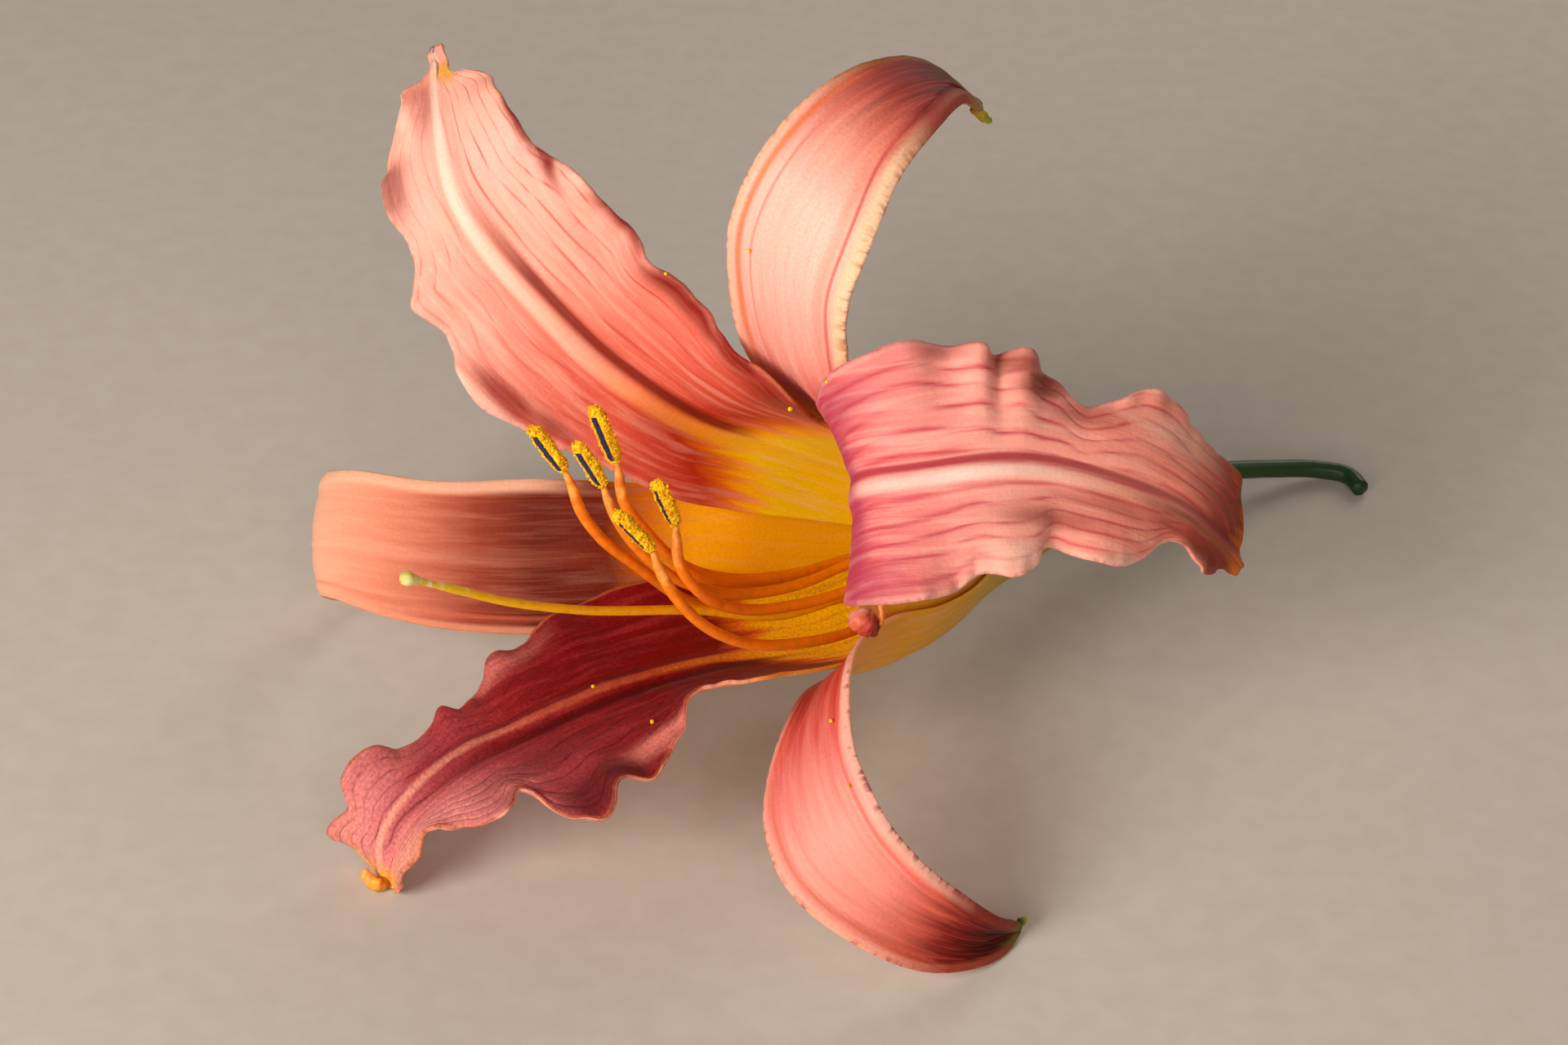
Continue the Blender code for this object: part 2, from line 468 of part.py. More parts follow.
def add_stamen(number, stamen, flower):
    foot = math.radians(stamen["foot"])
    across, up = centre_line(np.array([FOOT_HEIGHT]))
    start = (across[0] + FOOT_RADIUS * math.cos(foot), up[0] + FOOT_RADIUS * math.sin(foot), FOOT_HEIGHT)
    points = [start] + [(x, y, height) for height, x, y in stamen["route"]]
    low, high = (np.array([x, y, height]) for height, x, y in stamen["anther"])
    points.append(tuple(low - ANTHER_GAP * unit(low - np.array(points[-1]))))
    shares = np.linspace(0, 1, FILAMENT_RINGS)
    placed, aimed, length = along_route(points, shares)
    radii = FILAMENT_RADII[0] + (FILAMENT_RADII[1] - FILAMENT_RADII[0]) * ease(shares, *FILAMENT_WIDENS)
    radii[-1] *= FILAMENT_TIP
    mesh = loft(f"filament_{number}", rings_along(placed, aimed, radii, FILAMENT_SIDES))
    add_object(f"filament_{number}", mesh, "filament", flower)
    turns = np.arange(ANTHER_SIDES) * 2 * math.pi / ANTHER_SIDES
    lobes = 1 - ANTHER_GROOVE * np.abs(np.sin(turns)) ** 6
    outline = np.stack([ANTHER_HALF_WIDTH * np.cos(turns), ANTHER_HALF_DEPTH * lobes * np.sin(turns)], -1)
    stops, widths = np.array(ANTHER_PROFILE).T
    body = low + (high - low) * stops[:, None]
    direction = np.repeat([(high - low) / np.linalg.norm(high - low)], len(stops), axis=0)
    mesh = loft(f"anther_{number}", rings_along(body, direction, widths, ANTHER_SIDES, outline))
    add_object(f"anther_{number}", mesh, "anther", flower)


def cut_flat(pieces):
    """Takes off what reaches below the ground, so that each piece rests on a small flat spot."""
    bpy.ops.mesh.primitive_cube_add(size=GROUND_SIZE * MM, location=(0, 0, -GROUND_SIZE * MM / 2))
    ground = bpy.context.object
    ground.name = "ground"
    ground.hide_render = True
    ground.display_type = "WIRE"
    for piece in pieces:
        cut = piece.modifiers.new("ground cut", "BOOLEAN")
        cut.operation = "DIFFERENCE"
        cut.solver = "EXACT"
        cut.object = ground


def main():
    clear_scene()
    frame = flower_frame()
    flower = bpy.data.objects.new("flower", None)
    bpy.context.scene.collection.objects.link(flower)
    flower.matrix_world = frame
    blades = {name: add_blade(name, blade, flower) for name, blade in BLADES.items()}
    add_tube(flower)
    stalk = add_stalk(frame)
    add_pistil(flower)
    for number, stamen in enumerate(STAMENS, 1):
        add_stamen(number, stamen, flower)
    cut_flat([stalk] + [blades[name] for name in RESTING])


main()
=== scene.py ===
"""A daylily flower lying on its side, with its ruffled petals, smooth sepals, stamens and pistil.

Sizes are in millimetres and become metres where a shape is moulded. The flower's own frame has its
origin at the rim of the throat and +Z out along its axis."""

import math

import bpy
import numpy as np
from mathutils import Matrix, Vector, noise


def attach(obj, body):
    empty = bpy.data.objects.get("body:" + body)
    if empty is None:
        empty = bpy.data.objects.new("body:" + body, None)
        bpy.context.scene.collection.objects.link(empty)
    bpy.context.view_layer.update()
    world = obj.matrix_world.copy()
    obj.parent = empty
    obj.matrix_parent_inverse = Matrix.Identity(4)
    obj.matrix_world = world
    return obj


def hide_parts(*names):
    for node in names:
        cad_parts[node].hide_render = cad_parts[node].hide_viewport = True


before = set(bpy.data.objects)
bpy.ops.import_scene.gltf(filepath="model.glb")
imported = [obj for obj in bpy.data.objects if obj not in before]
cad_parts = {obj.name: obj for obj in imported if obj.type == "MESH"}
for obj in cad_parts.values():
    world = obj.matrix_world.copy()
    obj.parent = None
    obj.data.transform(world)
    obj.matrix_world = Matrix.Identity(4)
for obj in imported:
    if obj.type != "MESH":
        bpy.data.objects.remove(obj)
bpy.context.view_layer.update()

MM = 0.001
# How many points a smooth route is measured by.
ROUTE_POINTS = 600
# Points of a rolled grid closer than this are one point, in metres.
SEAM_GAP = 0.001 * MM

# Where the flower lies: its rim's centre in the room, and its axis in degrees.
RIM_CENTRE = (-14.8, -9.9, 33.2)
AXIS_HEADING = 217.7
AXIS_RISE = 24.8
AXIS_TURN = 27.0

# The throat is a trumpet on a slightly sagging centre line. Heights run along the axis, 0 at the rim.
BASE_HEIGHT = -67.0
PETAL_THROAT = [(-47, 2.9, 0), (-38, 5.4, 0), (-30, 9.0, 0), (-22, 11.9, 0), (-12, 14.2, 0)]
SEPAL_THROAT = [(-47, 4.1, 0), (-38, 6.6, 0), (-30, 10.2, 0), (-22, 13.1, 0), (-12, 15.6, 0)]
SAG_HEIGHTS = [-67, -47, -34, -20, -8, 4, 14]
SAG_AMOUNTS = [-7.7, -1.4, 1.0, 1.7, 1.0, 0.2, 0.0]
SAG_AZIMUTH = 275
# A blade is rolled into the trumpet up to the first of these lengths and free of it from the second. A half
# of it is rolled by at most the widest turn, in degrees.
THROAT_END = 36
FREE_START = 56
WIDEST_TURN = 57.5

# Blades. The thickness is at the midrib, and these shares of it are left beside the midrib, near the margin
# and at the lip. The lip starts and the midrib ends at these shares of a half width.
BLADE_THICKNESS = 1.1
LAMINA_SHARE = 0.62
MARGIN_SHARE = 0.56
LIP_SHARE = 0.34
LIP_START = 0.97
MIDRIB_SHARE = 0.12
# The waves of a margin die away towards the midrib with this power of the way across.
WAVE_DEPTH = 2.2
# The crease along the midrib is rounded in this many passes, within this share of a half width.
RIB_PASSES = 12
RIB_ROUNDING = 0.07
# Faces across and along a blade.
PETAL_GRID = (96, 240)
SEPAL_GRID = (72, 200)

# Relief of the skin. It rises from nothing between these lengths along a blade.
RELIEF_START = (40, 60)
# A petal's midrib stands up between two grooves, the deeper one on its shaded side, and its veins are sunk.
RIB_HEIGHT = 0.4
RIB_HALF_WIDTH = 1.0
GROOVE_ASIDE = 2.2
GROOVE_HALF_WIDTH = 0.9
SHADED_GROOVE = 0.42
PLAIN_GROOVE = 0.12
VEINS_START = (2, 4)
VEIN_HALF_SHARE = 0.13
VEIN_WANDER = 0.35
VEIN_WANDER_SIZE = 1.6
VEIN_WANDER_STRETCH = (0.5, 0.12, 0)
WIDE_PUCKER = 3.0
FINE_PUCKER = 1.2
PUCKER_STRETCH = (1, 0.4, 1)
PETAL_CRIMP = 1.9
CRIMPED_WIDTH = 3.2
# The crimps of the two margins are read this far apart, so that they differ.
MARGINS_APART = 5
# A sepal has a furrow for a midrib. The lip at its margins is a ridge with a fine seam inside it, each as
# (mm from the margin, half width, height), and is finely crimped.
FURROW_DEPTH = 0.18
FURROW_HALF_WIDTH = 1.2
LIP_RIDGE = (1.0, 0.75, 0.34)
LIP_SEAM = (2.5, 0.35, 0.2)
SEPAL_CRIMP = 0.9
LIP_CRIMP = 0.2
LIP_WIDTH = 2

# Half widths of a blade, clockwise and anticlockwise, are given at these shares of its length.
SHARES = [0, 0.1, 0.2, 0.3, 0.4, 0.5, 0.6, 0.7, 0.8, 0.88, 0.94, 0.98, 1.0]

# What a blade's entries hold. Azimuth: its direction round the axis, in degrees.
# Route: (height, distance from the axis, sideways) along the midrib, as the throat's points have it.
# Section: (share of length, fold and curl clockwise, fold and curl anticlockwise), in degrees.
# Waves: (share of length, how far the margin stands out, how far it lifts inwards), clockwise side first.
# Rib: (share of length, how far the midrib wanders aside).
# Veins: how many run in half a blade. Vein depth, pucker, crimp: how deep they are.
# Shaded: the side of the midrib with the deeper groove, -1 for clockwise. Lip: its height on each side.
# Dark, pale, tinged: patches as (mm along, mm aside, half length, half width, strength). The dark ones are
# painted shade in folds, hollows and under margins bent back, the pale ones painted highlights on raised lips
# and lobes, and the tinged ones a tinge of colour.
BLADES = {
    "petal_upper_left": dict(
        azimuth=117, veins=5.5, vein_depth=0.07, pucker=0.06, crimp=0.7, shaded=-1,
        rib=[(0, 0), (0.36, 1.5), (0.44, 2.5), (0.56, 2.9), (0.68, 2.4), (0.8, 2.0), (0.88, 0.9), (1, 0)],
        dark=[(90, -9.4, 6, 0.8, 0.85), (84, -10.2, 5, 1.0, 0.95), (71.5, -12.8, 5, 0.9, 0.85),
              (60, -12.2, 7, 1.6, 0.95), (53, -13.4, 5, 2.2, 0.95), (46, -13.5, 6, 5, 0.95),
              (66, 12.6, 5, 1.5, 0.85), (60, 11.8, 4, 1.0, 0.6), (90.5, 8.8, 4, 2.0, 0.65),
              (98.4, 2.4, 4.5, 2.2, 0.5)],
        pale=[(67, 14.4, 9, 0.7, 0.6), (97, 5.2, 5, 0.9, 0.4), (78, -13, 1.5, 1, 0.5),
              (64, -14.6, 2, 1, 0.5)],
        tinged=[(101.2, -1.2, 1.6, 1.6, 0.8)],
        route=[(-2, 16.2, 0), (7, 21.7, 0), (15, 29, 0), (21, 36.8, 0), (24.5, 45, 0), (24.5, 52, 0),
               (22, 62.5, 0)],
        section=[(0.45, 10, 36, 10, 36), (0.6, -5, 10, 20, 20), (0.8, -10, -5, 20, 0), (1, -5, 0, 10, 0)],
        clockwise=[2.65, 4.9, 7.6, 10.0, 11.8, 13.5, 14.2, 14.0, 12.2, 9.6, 6.8, 3.4, 1.2],
        anticlockwise=[2.75, 4.9, 7.6, 10.0, 11.8, 12.2, 13.4, 14.2, 13.0, 11.0, 8.0, 4.4, 1.2],
        waves=(
            [(0.34, 0, 0), (0.38, 0.8, -0.2), (0.42, 2.7, -0.6), (0.45, 3.7, -1.0), (0.475, 2.5, -1.2),
             (0.5, 0.4, -0.8), (0.55, -0.8, -1.6), (0.59, -1.1, -1.2), (0.63, -0.8, 1.0),
             (0.665, -1.3, -1.2), (0.7, -1.2, -0.6), (0.755, 0, 1.2), (0.785, -1.4, -0.6),
             (0.815, -2.2, -1.4), (0.85, -1.3, -0.6), (0.9, -0.3, 0.8), (0.93, -0.4, -0.4),
             (0.948, -2.0, 0), (0.963, -3.4, 0), (0.98, -2.1, 0), (1, 0, 0)],
            [(0.5, 0, 0), (0.56, 0.5, -0.5), (0.6, 0.9, 0.8), (0.64, 1.5, 1.8), (0.675, 0.5, 0.6),
             (0.715, -1.5, -1.0), (0.74, -0.6, 0.4), (0.753, -0.2, 0.8), (0.77, -2.0, 1.0), (0.8, -3.0, -0.6),
             (0.83, -2.3, 0.6), (0.86, -1.4, 0.2), (0.89, -0.6, -1.2), (0.92, -2.4, 0.6), (0.94, -3.4, 1.7),
             (0.953, -2.8, 1.9), (0.967, -4.2, 0.6), (0.98, -3.0, 0), (1, 0, 0)],
        ),
    ),
    "petal_right": dict(
        azimuth=2, veins=6, vein_depth=0.11, pucker=0.08, crimp=0.75, shaded=1,
        rib=[(0, 0), (0.42, 0.6), (0.5, 0.5), (0.56, -0.5), (0.7, -0.4), (0.78, -0.9), (1, -0.4)],
        dark=[(66.5, 13.0, 2.5, 1.0, 0.5), (72.6, 11.6, 3, 1.5, 0.85), (76, 9.4, 3.4, 1.8, 0.9),
              (81, 6.8, 4.5, 1.5, 0.6), (78, -5.2, 8, 1.2, 0.6), (85, -2.4, 8, 1.1, 0.5),
              (96, -1.8, 8, 1.6, 0.75)],
        pale=[(92, 7.5, 6, 1.8, 0.4), (74, -10, 5, 1.4, 0.6), (90, -8, 4, 1.0, 0.5)],
        tinged=[(52.6, 0, 2.2, 16, 0.6), (55, 10, 4.5, 3, 0.5), (55, -11, 3, 3, 0.4)],
        route=[(-4, 17, 2), (1, 20.5, 3), (2.5, 25.5, 4.5), (-2, 32, 6), (-13, 38.5, 6), (-28, 42.5, 2),
               (-39.5, 41.5, -4)],
        section=[(0.45, 0, 0, 5, 36), (0.6, 5, 0, 5, 0), (0.8, 5, -15, 5, -15), (1, 5, -10, 5, -10)],
        clockwise=[2.75, 4.9, 7.6, 10.0, 11.8, 13.5, 12.3, 10.6, 8.6, 6.4, 4.4, 3.0, 1.2],
        anticlockwise=[2.65, 4.9, 7.6, 10.0, 12.2, 14.5, 14.2, 12.0, 10.5, 9.0, 7.0, 4.0, 1.2],
        waves=(
            [(0.33, 0, 0), (0.38, -1.4, 0), (0.42, -2.3, 0), (0.46, -2.0, 0.3), (0.5, -0.8, 0.6),
             (0.56, 0.9, 1.0), (0.6, 0.8, -0.9), (0.635, -0.2, -0.6), (0.67, 0.9, 1.1), (0.7, 0.3, 0.5),
             (0.725, -1.5, -1.2), (0.755, -0.6, -0.6), (0.79, 0.2, 1.2), (0.83, 0.5, 0.6),
             (0.85, -0.1, -0.4), (0.875, -2.4, -1.0), (0.9, -2.4, 0.2), (0.925, -0.5, 1.0),
             (0.945, 0.2, 0.6), (0.968, -1.3, 0.2), (1, 0, 0)],
            [(0.36, 0, 0), (0.42, -1.2, 0), (0.47, -2.2, 0), (0.51, -1.4, 0), (0.54, -0.9, 0.2),
             (0.585, 0.4, 0.7), (0.625, -0.2, -1.3), (0.645, 0.3, 1.3), (0.662, -0.4, -1.4),
             (0.683, 0.7, 1.4), (0.705, -0.7, -1.4), (0.725, -1.4, -1.9), (0.748, -3.4, -1.0),
             (0.775, -2.0, 0.3), (0.81, 1.0, 1.0), (0.835, 1.3, 0.8), (0.87, 0.8, -0.4), (0.905, 1.0, -0.2),
             (0.95, 2.4, 0.4), (0.975, 1.6, 0), (1, 0, 0)],
        ),
    ),
    "petal_lower_left": dict(
        azimuth=240, veins=6, vein_depth=0.14, pucker=0.2, crimp=0.8, shaded=1,
        rib=[(0, 0), (0.44, 0.5), (0.5, 0.3), (0.56, -0.5), (0.62, -1.7), (0.7, -3.0), (0.78, -4.0),
             (0.86, -3.2), (0.93, -2.2), (1, -0.5)],
        dark=[(68, 14, 5, 4, 0.75), (70, 4, 7, 3, 0.4)],
        pale=[(59.5, 12.2, 4.5, 1.9, 0.8), (77.8, 14.8, 4.0, 2.6, 1.0), (75, 7, 2, 1.0, 0.4),
              (68, -12.5, 7, 1.6, 0.4)],
        tinged=[(94.6, 0, 1.6, 3, 0.7)],
        route=[(-2, 17.2, 0), (8, 21.8, 0), (17, 28.3, -0.5), (26, 36.5, -2), (28.5, 43, -3.2),
               (27, 49.5, -4)],
        section=[(0.45, 10, 36, 10, 36), (0.6, 5, 10, 10, 15), (0.8, 0, 0, 15, 0), (0.96, 26, 0, 18, 0),
                 (1, 6, 0, 4, 0)],
        clockwise=[2.75, 4.9, 7.6, 10.0, 11.5, 12.8, 13.0, 11.5, 10.5, 12.0, 11.0, 6.0, 1.2],
        anticlockwise=[2.75, 4.9, 7.6, 10.0, 11.0, 11.5, 14.0, 15.5, 12.5, 8.5, 5.5, 3.8, 1.2],
        waves=(
            [(0.5, 0, 0), (0.57, 0.8, -0.6), (0.61, 1.2, 0.8), (0.65, 1.9, -0.8), (0.7, 2.8, 1.0),
             (0.74, 1.3, -0.6), (0.775, 0, 0.4), (0.8, 0.6, 1.0), (0.825, -1.6, -0.6), (0.86, -3.2, -0.2),
             (0.89, -1.8, 0.8), (0.915, -2.2, 0.6), (0.935, -4.0, -0.8), (0.95, -1.8, 1.0),
             (0.965, -0.8, 0.8), (0.98, 0.9, 0.4), (1, 0, 0)],
            [(0.44, 0, 0), (0.49, 0.5, 0.3), (0.53, -2.0, 0.8), (0.56, -3.2, 1.0), (0.6, -0.6, -0.4),
             (0.63, 0.2, -0.8), (0.66, 1.2, -1.2), (0.69, 0.6, 0.6), (0.725, 2.4, -1.6), (0.755, 0.9, -0.8),
             (0.785, -4.3, 1.2), (0.8, -0.9, 1.8), (0.813, 0.4, 1.8), (0.83, -0.9, 0.6), (0.85, -3.4, -0.6),
             (0.87, -3.2, 0.6), (0.89, -3.8, 0.2), (0.92, -1.6, -0.6), (0.95, -1.0, 0.4),
             (0.975, -0.8, 0.2), (1, 0, 0)],
        ),
    ),
    "sepal_upper": dict(
        azimuth=60, veins=7, lip=(1.0, 0.6),
        route=[(-1, 20, 0), (6, 27, 0), (11, 36, 0), (11, 44, 0), (8, 51, 0), (2, 56, 0), (-4, 57.5, 0),
               (-10, 55.5, 0)],
        section=[(0.45, -18, 0, 0, 25), (0.6, -8, -5, 0, 5), (0.8, -10, -25, 5, -5), (1, -5, -25, 5, -5)],
        clockwise=[3.4, 4.6, 6.0, 7.2, 8.2, 8.8, 10.2, 10.6, 8.3, 6.0, 3.2, 1.8, 0.8],
        anticlockwise=[3.4, 4.6, 6.0, 7.2, 8.2, 9.0, 8.9, 8.2, 7.2, 6.6, 5.4, 3.0, 0.8],
    ),
    "sepal_lower": dict(
        azimuth=302, veins=7, lip=(0.6, 0.9),
        dark=[(45, -3, 6, 3.5, 0.7)],
        route=[(-4, 20, 0), (1.5, 27, 0), (4, 34, 0), (3.5, 41, 0), (-0.5, 46.5, 0), (-7, 50.5, 0),
               (-13, 52.3, 0), (-19, 51.7, 0)],
        section=[(0.45, 0, 25, 0, 25), (0.6, 0, 5, -8, -5), (0.8, 30, 20, -10, -25), (1, 50, 30, -5, -25)],
        clockwise=[3.4, 4.6, 6.0, 6.4, 4.9, 4.3, 7.7, 7.8, 6.5, 5.5, 3.4, 2.0, 0.8],
        anticlockwise=[3.4, 4.6, 6.0, 7.2, 7.6, 7.2, 6.4, 6.6, 5.6, 4.4, 3.0, 1.8, 0.8],
    ),
    "sepal_left": dict(
        azimuth=181, veins=7, lip=(0.5, 0.3),
        route=[(-4, 20, 1.5), (6, 30, 2.5), (14, 41, 2), (18, 50, 0.5), (15.5, 58.5, 0.5), (8, 64, 2),
               (0, 65.5, 3), (-6.5, 64.6, 3.5)],
        section=[(0.42, 0, 25, 0, 25), (0.56, 0, 5, 0, 5), (0.75, 0, -15, 0, -15), (0.93, 0, -25, 0, -25),
                 (1, 0, -25, 0, -25)],
        clockwise=[3.4, 4.7, 6.2, 7.4, 8.7, 9.5, 9.0, 8.8, 8.0, 5.8, 3.6, 1.8, 0.8],
        anticlockwise=[3.4, 4.7, 6.2, 7.4, 8.5, 9.1, 8.5, 7.3, 6.4, 5.4, 3.6, 1.8, 0.8],
    ),
}

# The tube: (height, radius) up the outside, then down the bore. Faint ribs run where the radius is past the
# last of these numbers, which is outside and at the bore's mouth.
TUBE_OUTSIDE = [(-67.0, 2.7), (-61, 2.8), (-55, 3.3), (-51, 3.9), (-47.6, 4.5), (-46.2, 4.75)]
TUBE_BORE = [(-46.2, 4.3), (-47.6, 2.6), (-51, 2.35), (-55, 2.1), (-61, 1.9), (-67.0, 1.9)]
TUBE_RINGS = (33, 24)
TUBE_SIDES = 72
TUBE_RIBS = 6
TUBE_RIB_SHARE = 0.018
TUBE_RIBBED_FROM = 2.5

# The stalk in the room's directions, measured from the rim's centre: (x, y, z, radius).
STALK = [(55.5, 49.0, -25.2, 1.35), (64.0, 54.9, -28.4, 1.2), (70, 58.3, -30.5, 1.15),
         (75.5, 59.8, -31.6, 1.15), (79.6, 59.2, -32.1, 1.15), (81.2, 55.7, -32.15, 1.1)]
# Its neck, from just inside the tube's base: (how far under that base, radius).
STALK_NECK = [(-0.3, 2.72), (0.0, 2.72), (1.2, 2.6), (3.2, 1.7)]
STALK_RINGS = 90
STALK_SIDES = 28
STALK_RIBS = 7
STALK_RIB_SHARE = 0.035
# Its lower end narrows to this share, at the rate of a whole radius in this length. Its top is capped over
# this step.
STALK_END_SHARE = 0.4
STALK_END_LENGTH = 0.5
STALK_CAP_STEP = 0.06

# The pistil: (height, radius) on the tube's centre line, then (height, across, up, radius) where it is free.
PISTIL_IN_TUBE = [(-66.6, 0.5), (-65.8, 1.1), (-63.0, 1.25), (-60.5, 0.9), (-58.5, 0.5), (-47, 0.5)]
PISTIL_FREE = [(-34, 0.0, -2.0, 0.5), (-20, 0.0, -6.2, 0.52), (-7, 0, -9.2, 0.55), (5, 0, -8.7, 0.55),
               (24, 0, -8.8, 0.52), (34, 0, -8.0, 0.5), (41, 0, -6.8, 0.5), (46.5, 0, -5.9, 0.55),
               (47.7, 0, -5.7, 0.85), (48.6, 0, -5.55, 0.6)]
# Rings of points along its ovary, its style and its stigma.
PISTIL_RINGS = (40, 110, 16)
PISTIL_SIDES = 20
PISTIL_ROUNDING = 0.4

# Stamens: azimuth of the foot in the tube, the filament's (height, across, up), the anther's two ends, and
# how far the anther's slit is turned from where slits face, in degrees.
FOOT_HEIGHT = -49.0
FOOT_RADIUS = 1.45
STAMENS = [
    dict(foot=270, route=[(-34, -2.4, -3.6), (-20, -4.5, -7.5), (-8, -5.6, -9.0), (0.6, -6, -8.0),
                          (9.6, -6, -3.8), (15.8, -6, -0.2), (18.4, -6, 2.5), (19.6, -6, 5.0)],
         anther=[(20.7, -6, 6.6), (25.8, -6, 11.5)]),
    dict(foot=150, route=[(-34, -1.8, 0.8), (-20, -3.0, -2.6), (-8, -3.2, -5.2), (2, -3, -5.0),
                          (11.1, -3, 0.2), (14.6, -3, 3.8), (15.2, -3, 6.2)],
         anther=[(15.6, -3, 7.6), (19.4, -3, 14.0)]),
    dict(foot=90, route=[(-34, 0.6, 1.4), (-20, 0.5, -2.4), (-8, 0.3, -6.0), (3, 0.2, -6.6),
                         (13.5, 0.6, -3.2), (18.1, 0.4, 0.9), (19.6, 0, 3.6)],
         anther=[(20.2, 0, 4.9), (24.4, 0, 9.6)]),
    dict(foot=330, route=[(-34, 2.4, -4.2), (-20, 4.2, -9.4), (-8, 5.2, -12.0), (4.4, 5, -12.0),
                          (9.5, 5, -10.2), (14.5, 5, -6.3), (16.6, 5, -3.4)],
         anther=[(17.1, 5, -2.2), (22.9, 5, 2.0)], slit=-18),
    dict(foot=30, route=[(-34, 2.8, -1.0), (-20, 3.4, -4.8), (-8, 2.8, -7.8), (1.7, 2.2, -8.4),
                         (6.8, 2.4, -7.1), (10.4, 2, -3.5), (10.9, 2, -0.4)],
         anther=[(11.0, 2, 0.8), (14.2, 2, 5.8)], slit=-24),
    dict(foot=210, route=[(-34, -3.2, -0.8), (-20, -6.4, -3.6), (-8, -8.6, -5.0), (-1, -9, -3.8),
                          (5.8, -9, 0.3), (9.3, -9, 4.0), (9.9, -9, 6.6)],
         anther=[(10.2, -9, 8.0), (14.1, -9, 14.3)]),
]
# A filament thickens between these shares of its length, and narrows by half over its last share.
FILAMENT_RADII = (0.48, 0.66)
FILAMENT_THICKENS = (0.2, 0.7)
FILAMENT_NARROWS = (0.95, 1)
# Where its rings stand, as (first share, last share, how many).
FILAMENT_RINGS = ((0, 0.97, 70), (0.975, 1, 8))
FILAMENT_SIDES = 16
FILAMENT_ROUNDING = 0.3
# How far a filament reaches into its anther.
FILAMENT_IN_ANTHER = 0.5
ANTHER_HALF_WIDTH = 1.05
ANTHER_HALF_DEPTH = 0.8
ANTHER_BLUNTNESS = 5
ANTHER_SIDES = 40
ANTHER_RINGS = 56
# Slits face this way in the room, sunk by this share of the width. A slit's rim slopes between these shares
# of its half angle, and it opens and closes between these shares of the anther's length.
SLIT_FACING = (-0.7, -0.6, 0.4)
SLIT_DEPTH = 0.3
SLIT_HALF_ANGLE = 34
SLIT_RIM = (1.25, 0.85)
SLIT_OPENS = (0.05, 0.1)
SLIT_CLOSES = (0.86, 0.8)
# Lumps are (size, share of width).
COARSE_LUMPS = (0.8, 0.22)
FINE_LUMPS = (0.3, 0.14)
POLLEN_RADIUS = 0.13
FALLEN_POLLEN_RADIUS = 0.28
# How uneven in size the grains are, by noise with bumps of this size.
POLLEN_UNEVEN = 0.35
POLLEN_UNEVEN_SIZE = 0.37
POLLEN_SEED = 4.0
POLLEN_ON_ANTHER = 420
POLLEN_SCATTER = 0.05
# Loose grains lie only where the slit is less open than this.
DUSTY_BELOW = 0.25

# Small curls at margins and tips in the room: (x, y, z, radius), and their colour along themselves.
CURL_RINGS = 24
CURL_SIDES = 16
CURL_ROUNDING = 0.5
CURL_BUMPS = 0.5
CURL_BUMP_SIZE = 0.5
CURLS = {
    "crest_curl": (
        [(-1.3, -32.5, 39.2, 1.0), (-0.8, -33.2, 38.4, 1.4), (0.0, -33.0, 37.5, 1.35),
         (0.8, -32.2, 37.1, 0.8)],
        [(0.0, "#E8A090"), (0.3, "#D8603C"), (0.55, "#B03028"), (0.8, "#781420"), (1.0, "#5A1014")]),
    "crest_pillar": (
        [(1.5, -31.8, 39.8, 0.45), (1.4, -32.8, 38.5, 0.3), (1.3, -33.2, 37.4, 0.4)],
        [(0.0, "#E89048"), (1.0, "#D86420")]),
    "upper_tip_hook": (
        [(11.6, 7.3, 79.4, 0.5), (12.4, 7.1, 78.8, 0.6), (13.2, 6.9, 78.1, 0.55), (14.0, 6.7, 77.7, 0.3)],
        [(0.0, "#7A4A14"), (0.4, "#C0A820"), (1.0, "#8C9A20")]),
    "lower_tip_point": (
        [(17.0, -41.1, 1.7, 0.5), (17.7, -40.9, 1.9, 0.5), (18.3, -40.7, 2.2, 0.25)],
        [(0.0, "#4C3410"), (0.5, "#55701C"), (1.0, "#C0B030")]),
    "resting_tip_curl": (
        [(-54.4, -32.8, 0.8, 0.6), (-55.6, -33.4, 0.9, 0.8), (-56.7, -33.1, 1.6, 0.7),
         (-57.0, -32.5, 2.6, 0.4)],
        [(0.0, "#A8501C"), (0.5, "#F0A428"), (1.0, "#F0B060")]),
}
# Grains of pollen that have fallen on the petals.
POLLEN_DOTS = [(-13.1, -5.2, 68.2), (-22.5, 0.8, 61.6), (-4.0, -33.2, 24.4), (-2.1, -41.5, 21.8),
               (-4.5, -14.6, 57.1), (-24.1, -26.3, 18.9), (-31.0, -20.5, 19.5), (-8.5, -10.2, 50.6)]

# Patterns as bumps per mm. Streaks run along a blade, twelve times as long as wide. A skin cell is 0.05 mm
# and a grain of pollen 0.1 mm, too fine to show: speckle, grain, ridges and dust are drawn at 0.3 to 1.1 mm.
STREAKS_PER_MM = 1.1
STREAK_STRETCH = 0.08
CRIMP_STRETCH = 0.35
CELLS_PER_MM = 2.6
GRAIN_PER_MM = 1.8
RIDGES_PER_MM = 3.2
ROD_GRAIN_PER_MM = 0.9
DUST_PER_MM = 2.6
BOARD_TOOTH_PER_MM = 0.26
# Most of a noise pattern lies in this range, by a range node's sockets.
SPREAD = {1: 0.3, 2: 0.7}
# A range node that eases in and out.
EASED = {"interpolation_type": "SMOOTHSTEP"}
# The dark eye zone ends and the free blade's own markings begin between these places on the colour ramp.
EYE_ZONE_END = {1: 0.42, 2: 0.52}
# Markings change to the tip's colours over this share of a blade's length.
TIP_FADE = 0.08
# The midrib's and the sides' pull on the colour ramp ends this far from the midrib.
RIB_REACH = 4.0
SIDE_REACH = 9
# Where the lamps are aimed, in metres.
LAMP_AIM = (0, 0, 0.03)


